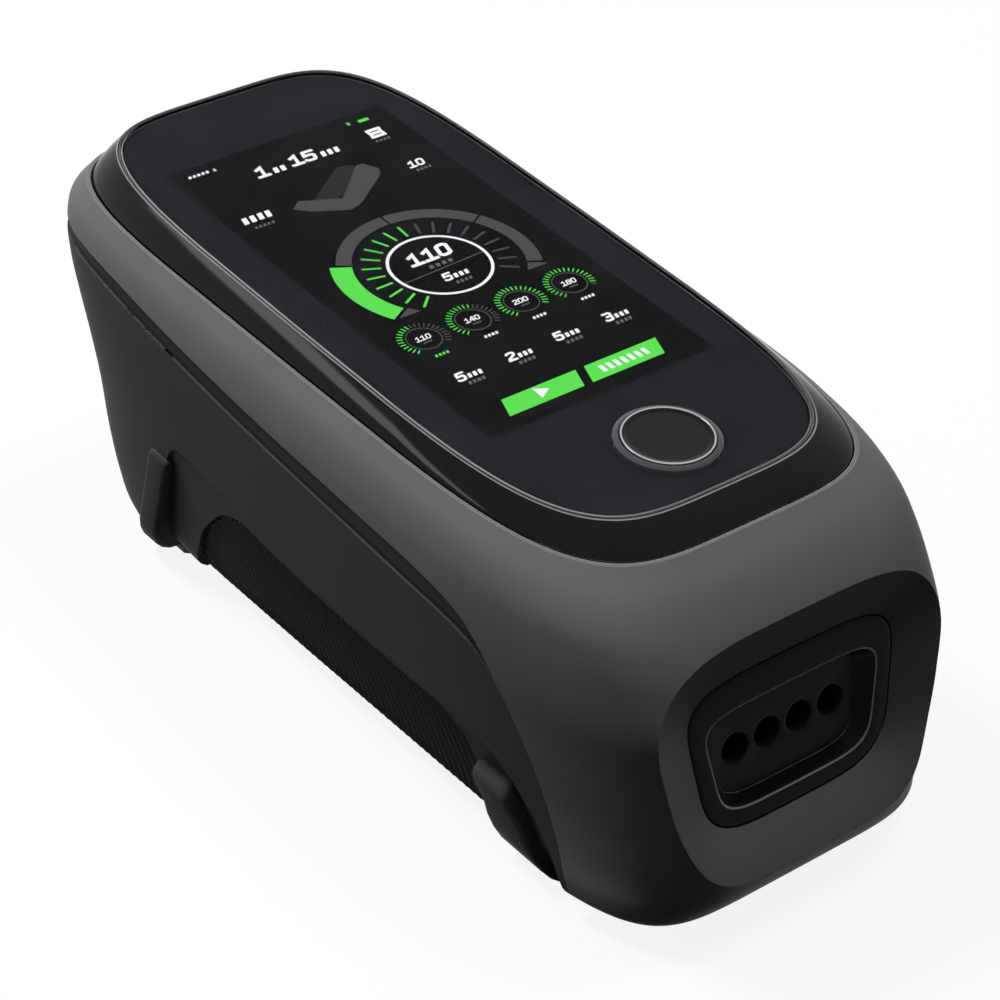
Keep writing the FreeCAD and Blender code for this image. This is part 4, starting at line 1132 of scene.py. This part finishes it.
def makePicture():
    layers = {"whiteLight": [], "greyLight": [], "dimLight": [], "dimGrey": [], "greenLight": []}
    white, dim, green = layers["whiteLight"], layers["dimLight"], layers["greenLight"]
    makeGauges(layers)
    makeSleeves(layers)
    for text, centre, height in picture["numbers"]:
        white += numberPieces(text, centre, height)
    for word in picture["whiteWords"]:
        white += wordPieces(*word)
    for word in picture["dimWords"]:
        dim += wordPieces(*word)
    dim.append(strokePiece([(-11.2, -4.9), (11.9, -3.9)], 0.12, False))
    for (x, y), text in picture["holdNumbers"]:
        white += numberPieces(text, (x, y), 3.2)
        white += wordPieces(3, (x + 3.4, y - 0.6), 1.5, 1.4)
        dim += wordPieces(4, (x + 2.2, y - 2.9), 1.1, 1.2)
    makeKeys(white, green)
    white += [flatPiece("icon", rectangle(3.9, 1.1, (22.7 + 0.25 * y, 52.3 + y))) for y in (1.5, 0.0, -1.5)]
    white += [flatPiece("icon", rectangle(0.8, 4.0, (x, 52.3))) for x in (21.1, 24.3)]
    green.append(flatPiece("cell", rectangle(3.0, 1.2, (23.7, 58.8))))
    green.append(flatPiece("dot", rectangle(0.8, 1.3, (19.5, 59.2))))
    for name, pieces in layers.items():
        whole = finish(joinPieces(pieces, "picture." + name), finishes[name])


makePicture()
print("picture done")


innerRoughness = {"rubber": 0.7, "fabric": 0.9, "gloss_plastic": 0.2, "matte_plastic": 0.5}
metals = ("brushed_steel", "chrome", "aluminium", "brass")
dressed = {"display_panel": "screenBlack", "rear_vent": "housingDark"}


def innerFinish(slot):
    entry = next(item for item in frame["record"]["materials"] if item["slot"] == slot)
    metal = 1.0 if entry["class"] in metals else 0.0
    rough = innerRoughness.get(entry["class"], 0.35)
    color = entry["base_color"][:3]
    return finishMaterial("inner." + slot, color, rough, metallic=metal, grain=0.06, edge=0.0)


innerFinishes = {}
for item in frame["record"]["subparts"]:
    slotName = item["material_slot"]
    if slotName not in innerFinishes:
        innerFinishes[slotName] = innerFinish(slotName)
    piece = frame["nodes"][item["node"]]
    chosen = innerFinishes[slotName]
    if item["node"] in dressed:
        chosen = finishes[dressed[item["node"]]]
    for holder in piece.material_slots:
        holder.material = chosen
print("inner finishes done")


stage = {
    "floorSize": 6.0,
    "worldLight": 0.02,
    "topPower": 22.5,
    "sidePower": 5.0,
    "rightPower": 9.5,
    "floorShade": 0.035,
    "floorPale": 0.85,
    "floorGlow": 0.88,
}


def rayMix(tree):
    # 1 for camera, glossy and transmission rays
    path = addNode(tree, "ShaderNodeLightPath").outputs
    first = calculate(tree, "MAXIMUM", path["Is Camera Ray"], path["Is Glossy Ray"])
    return calculate(tree, "MAXIMUM", first, path["Is Transmission Ray"])


def makeWorld():
    world = bpy.data.worlds.new("studio")
    bpy.context.scene.world = world
    world.use_nodes = True
    tree = world.node_tree
    plain = tree.nodes["Background"]
    setInputs(tree, plain, {"Color": (1, 1, 1, 1), "Strength": stage["worldLight"]})
    white = addNode(tree, "ShaderNodeBackground", {"Color": (1, 1, 1, 1), "Strength": 1.0})
    mix = addNode(tree, "ShaderNodeMixShader", {
        "Fac": rayMix(tree), 1: plain.outputs[0], 2: white.outputs[0]})
    setInputs(tree, tree.nodes["World Output"], {"Surface": mix.outputs[0]})


def makeFloor():
    # pale where it is seen, darker where it would only throw light back
    half = stage["floorSize"] / 2
    corners = [(-half, -half, 0), (half, -half, 0), (half, half, 0), (-half, half, 0)]
    floor = meshPiece("floor", corners, [(0, 1, 2, 3)])
    material, tree, shader = newMaterial("floorPale")
    seen = rayMix(tree)
    shade = colorMix(tree, seen, [stage["floorShade"]] * 3 + [1], [stage["floorPale"]] * 3 + [1])
    setInputs(tree, shader, {"Base Color": shade, "Roughness": 0.9, "Specular IOR Level": 0.0})
    glow = addNode(tree, "ShaderNodeEmission", {"Color": (1, 1, 1, 1)})
    share = calculate(tree, "MULTIPLY", seen, stage["floorGlow"])
    mix = addNode(tree, "ShaderNodeMixShader", {"Fac": share, 1: shader.outputs[0], 2: glow.outputs[0]})
    setInputs(tree, tree.nodes["Material Output"], {"Surface": mix.outputs[0]})
    floor.data.materials.append(material)


def addLamp(name, place, size, power, mirrored=True):
    aim = Vector((0, 0, 0.05))
    lamp = bpy.data.lights.new(name, "AREA")
    lamp.shape = "RECTANGLE"
    lamp.size, lamp.size_y = size
    lamp.energy = power
    holder = bpy.data.objects.new(name, lamp)
    holder.visible_glossy = mirrored
    holder.location = place
    holder.rotation_euler = (aim - Vector(place)).to_track_quat("-Z", "Y").to_euler()
    bpy.context.scene.collection.objects.link(holder)


def makeCamera():
    lens = bpy.data.cameras.new("view")
    lens.lens = 108.0
    lens.sensor_width = 36.0
    lens.clip_start = 0.01
    camera = bpy.data.objects.new("view", lens)
    right = Vector((0.787883, -0.615341, 0.024409))
    down = Vector((-0.33725, -0.464301, -0.818955))
    forward = Vector((0.51527, 0.637009, -0.573338))
    turn = Matrix((right, -down, -forward)).transposed().to_4x4()
    camera.matrix_world = Matrix.Translation((-0.355718, -0.446178, 0.438506)) @ turn
    bpy.context.scene.collection.objects.link(camera)
    bpy.context.scene.camera = camera


makeWorld()
makeFloor()
addLamp("topLamp", (-0.4, 0.75, 1.3), (0.4, 0.4), stage["topPower"], mirrored=False)
addLamp("rightLamp", (0.5, -0.15, 1.4), (0.4, 0.4), stage["rightPower"], mirrored=False)
addLamp("sideLamp", (-1.35, 1.2, 0.75), (1.0, 0.25), stage["sidePower"])
makeCamera()
bpy.context.scene.view_settings.view_transform = "Standard"
print("stage done")
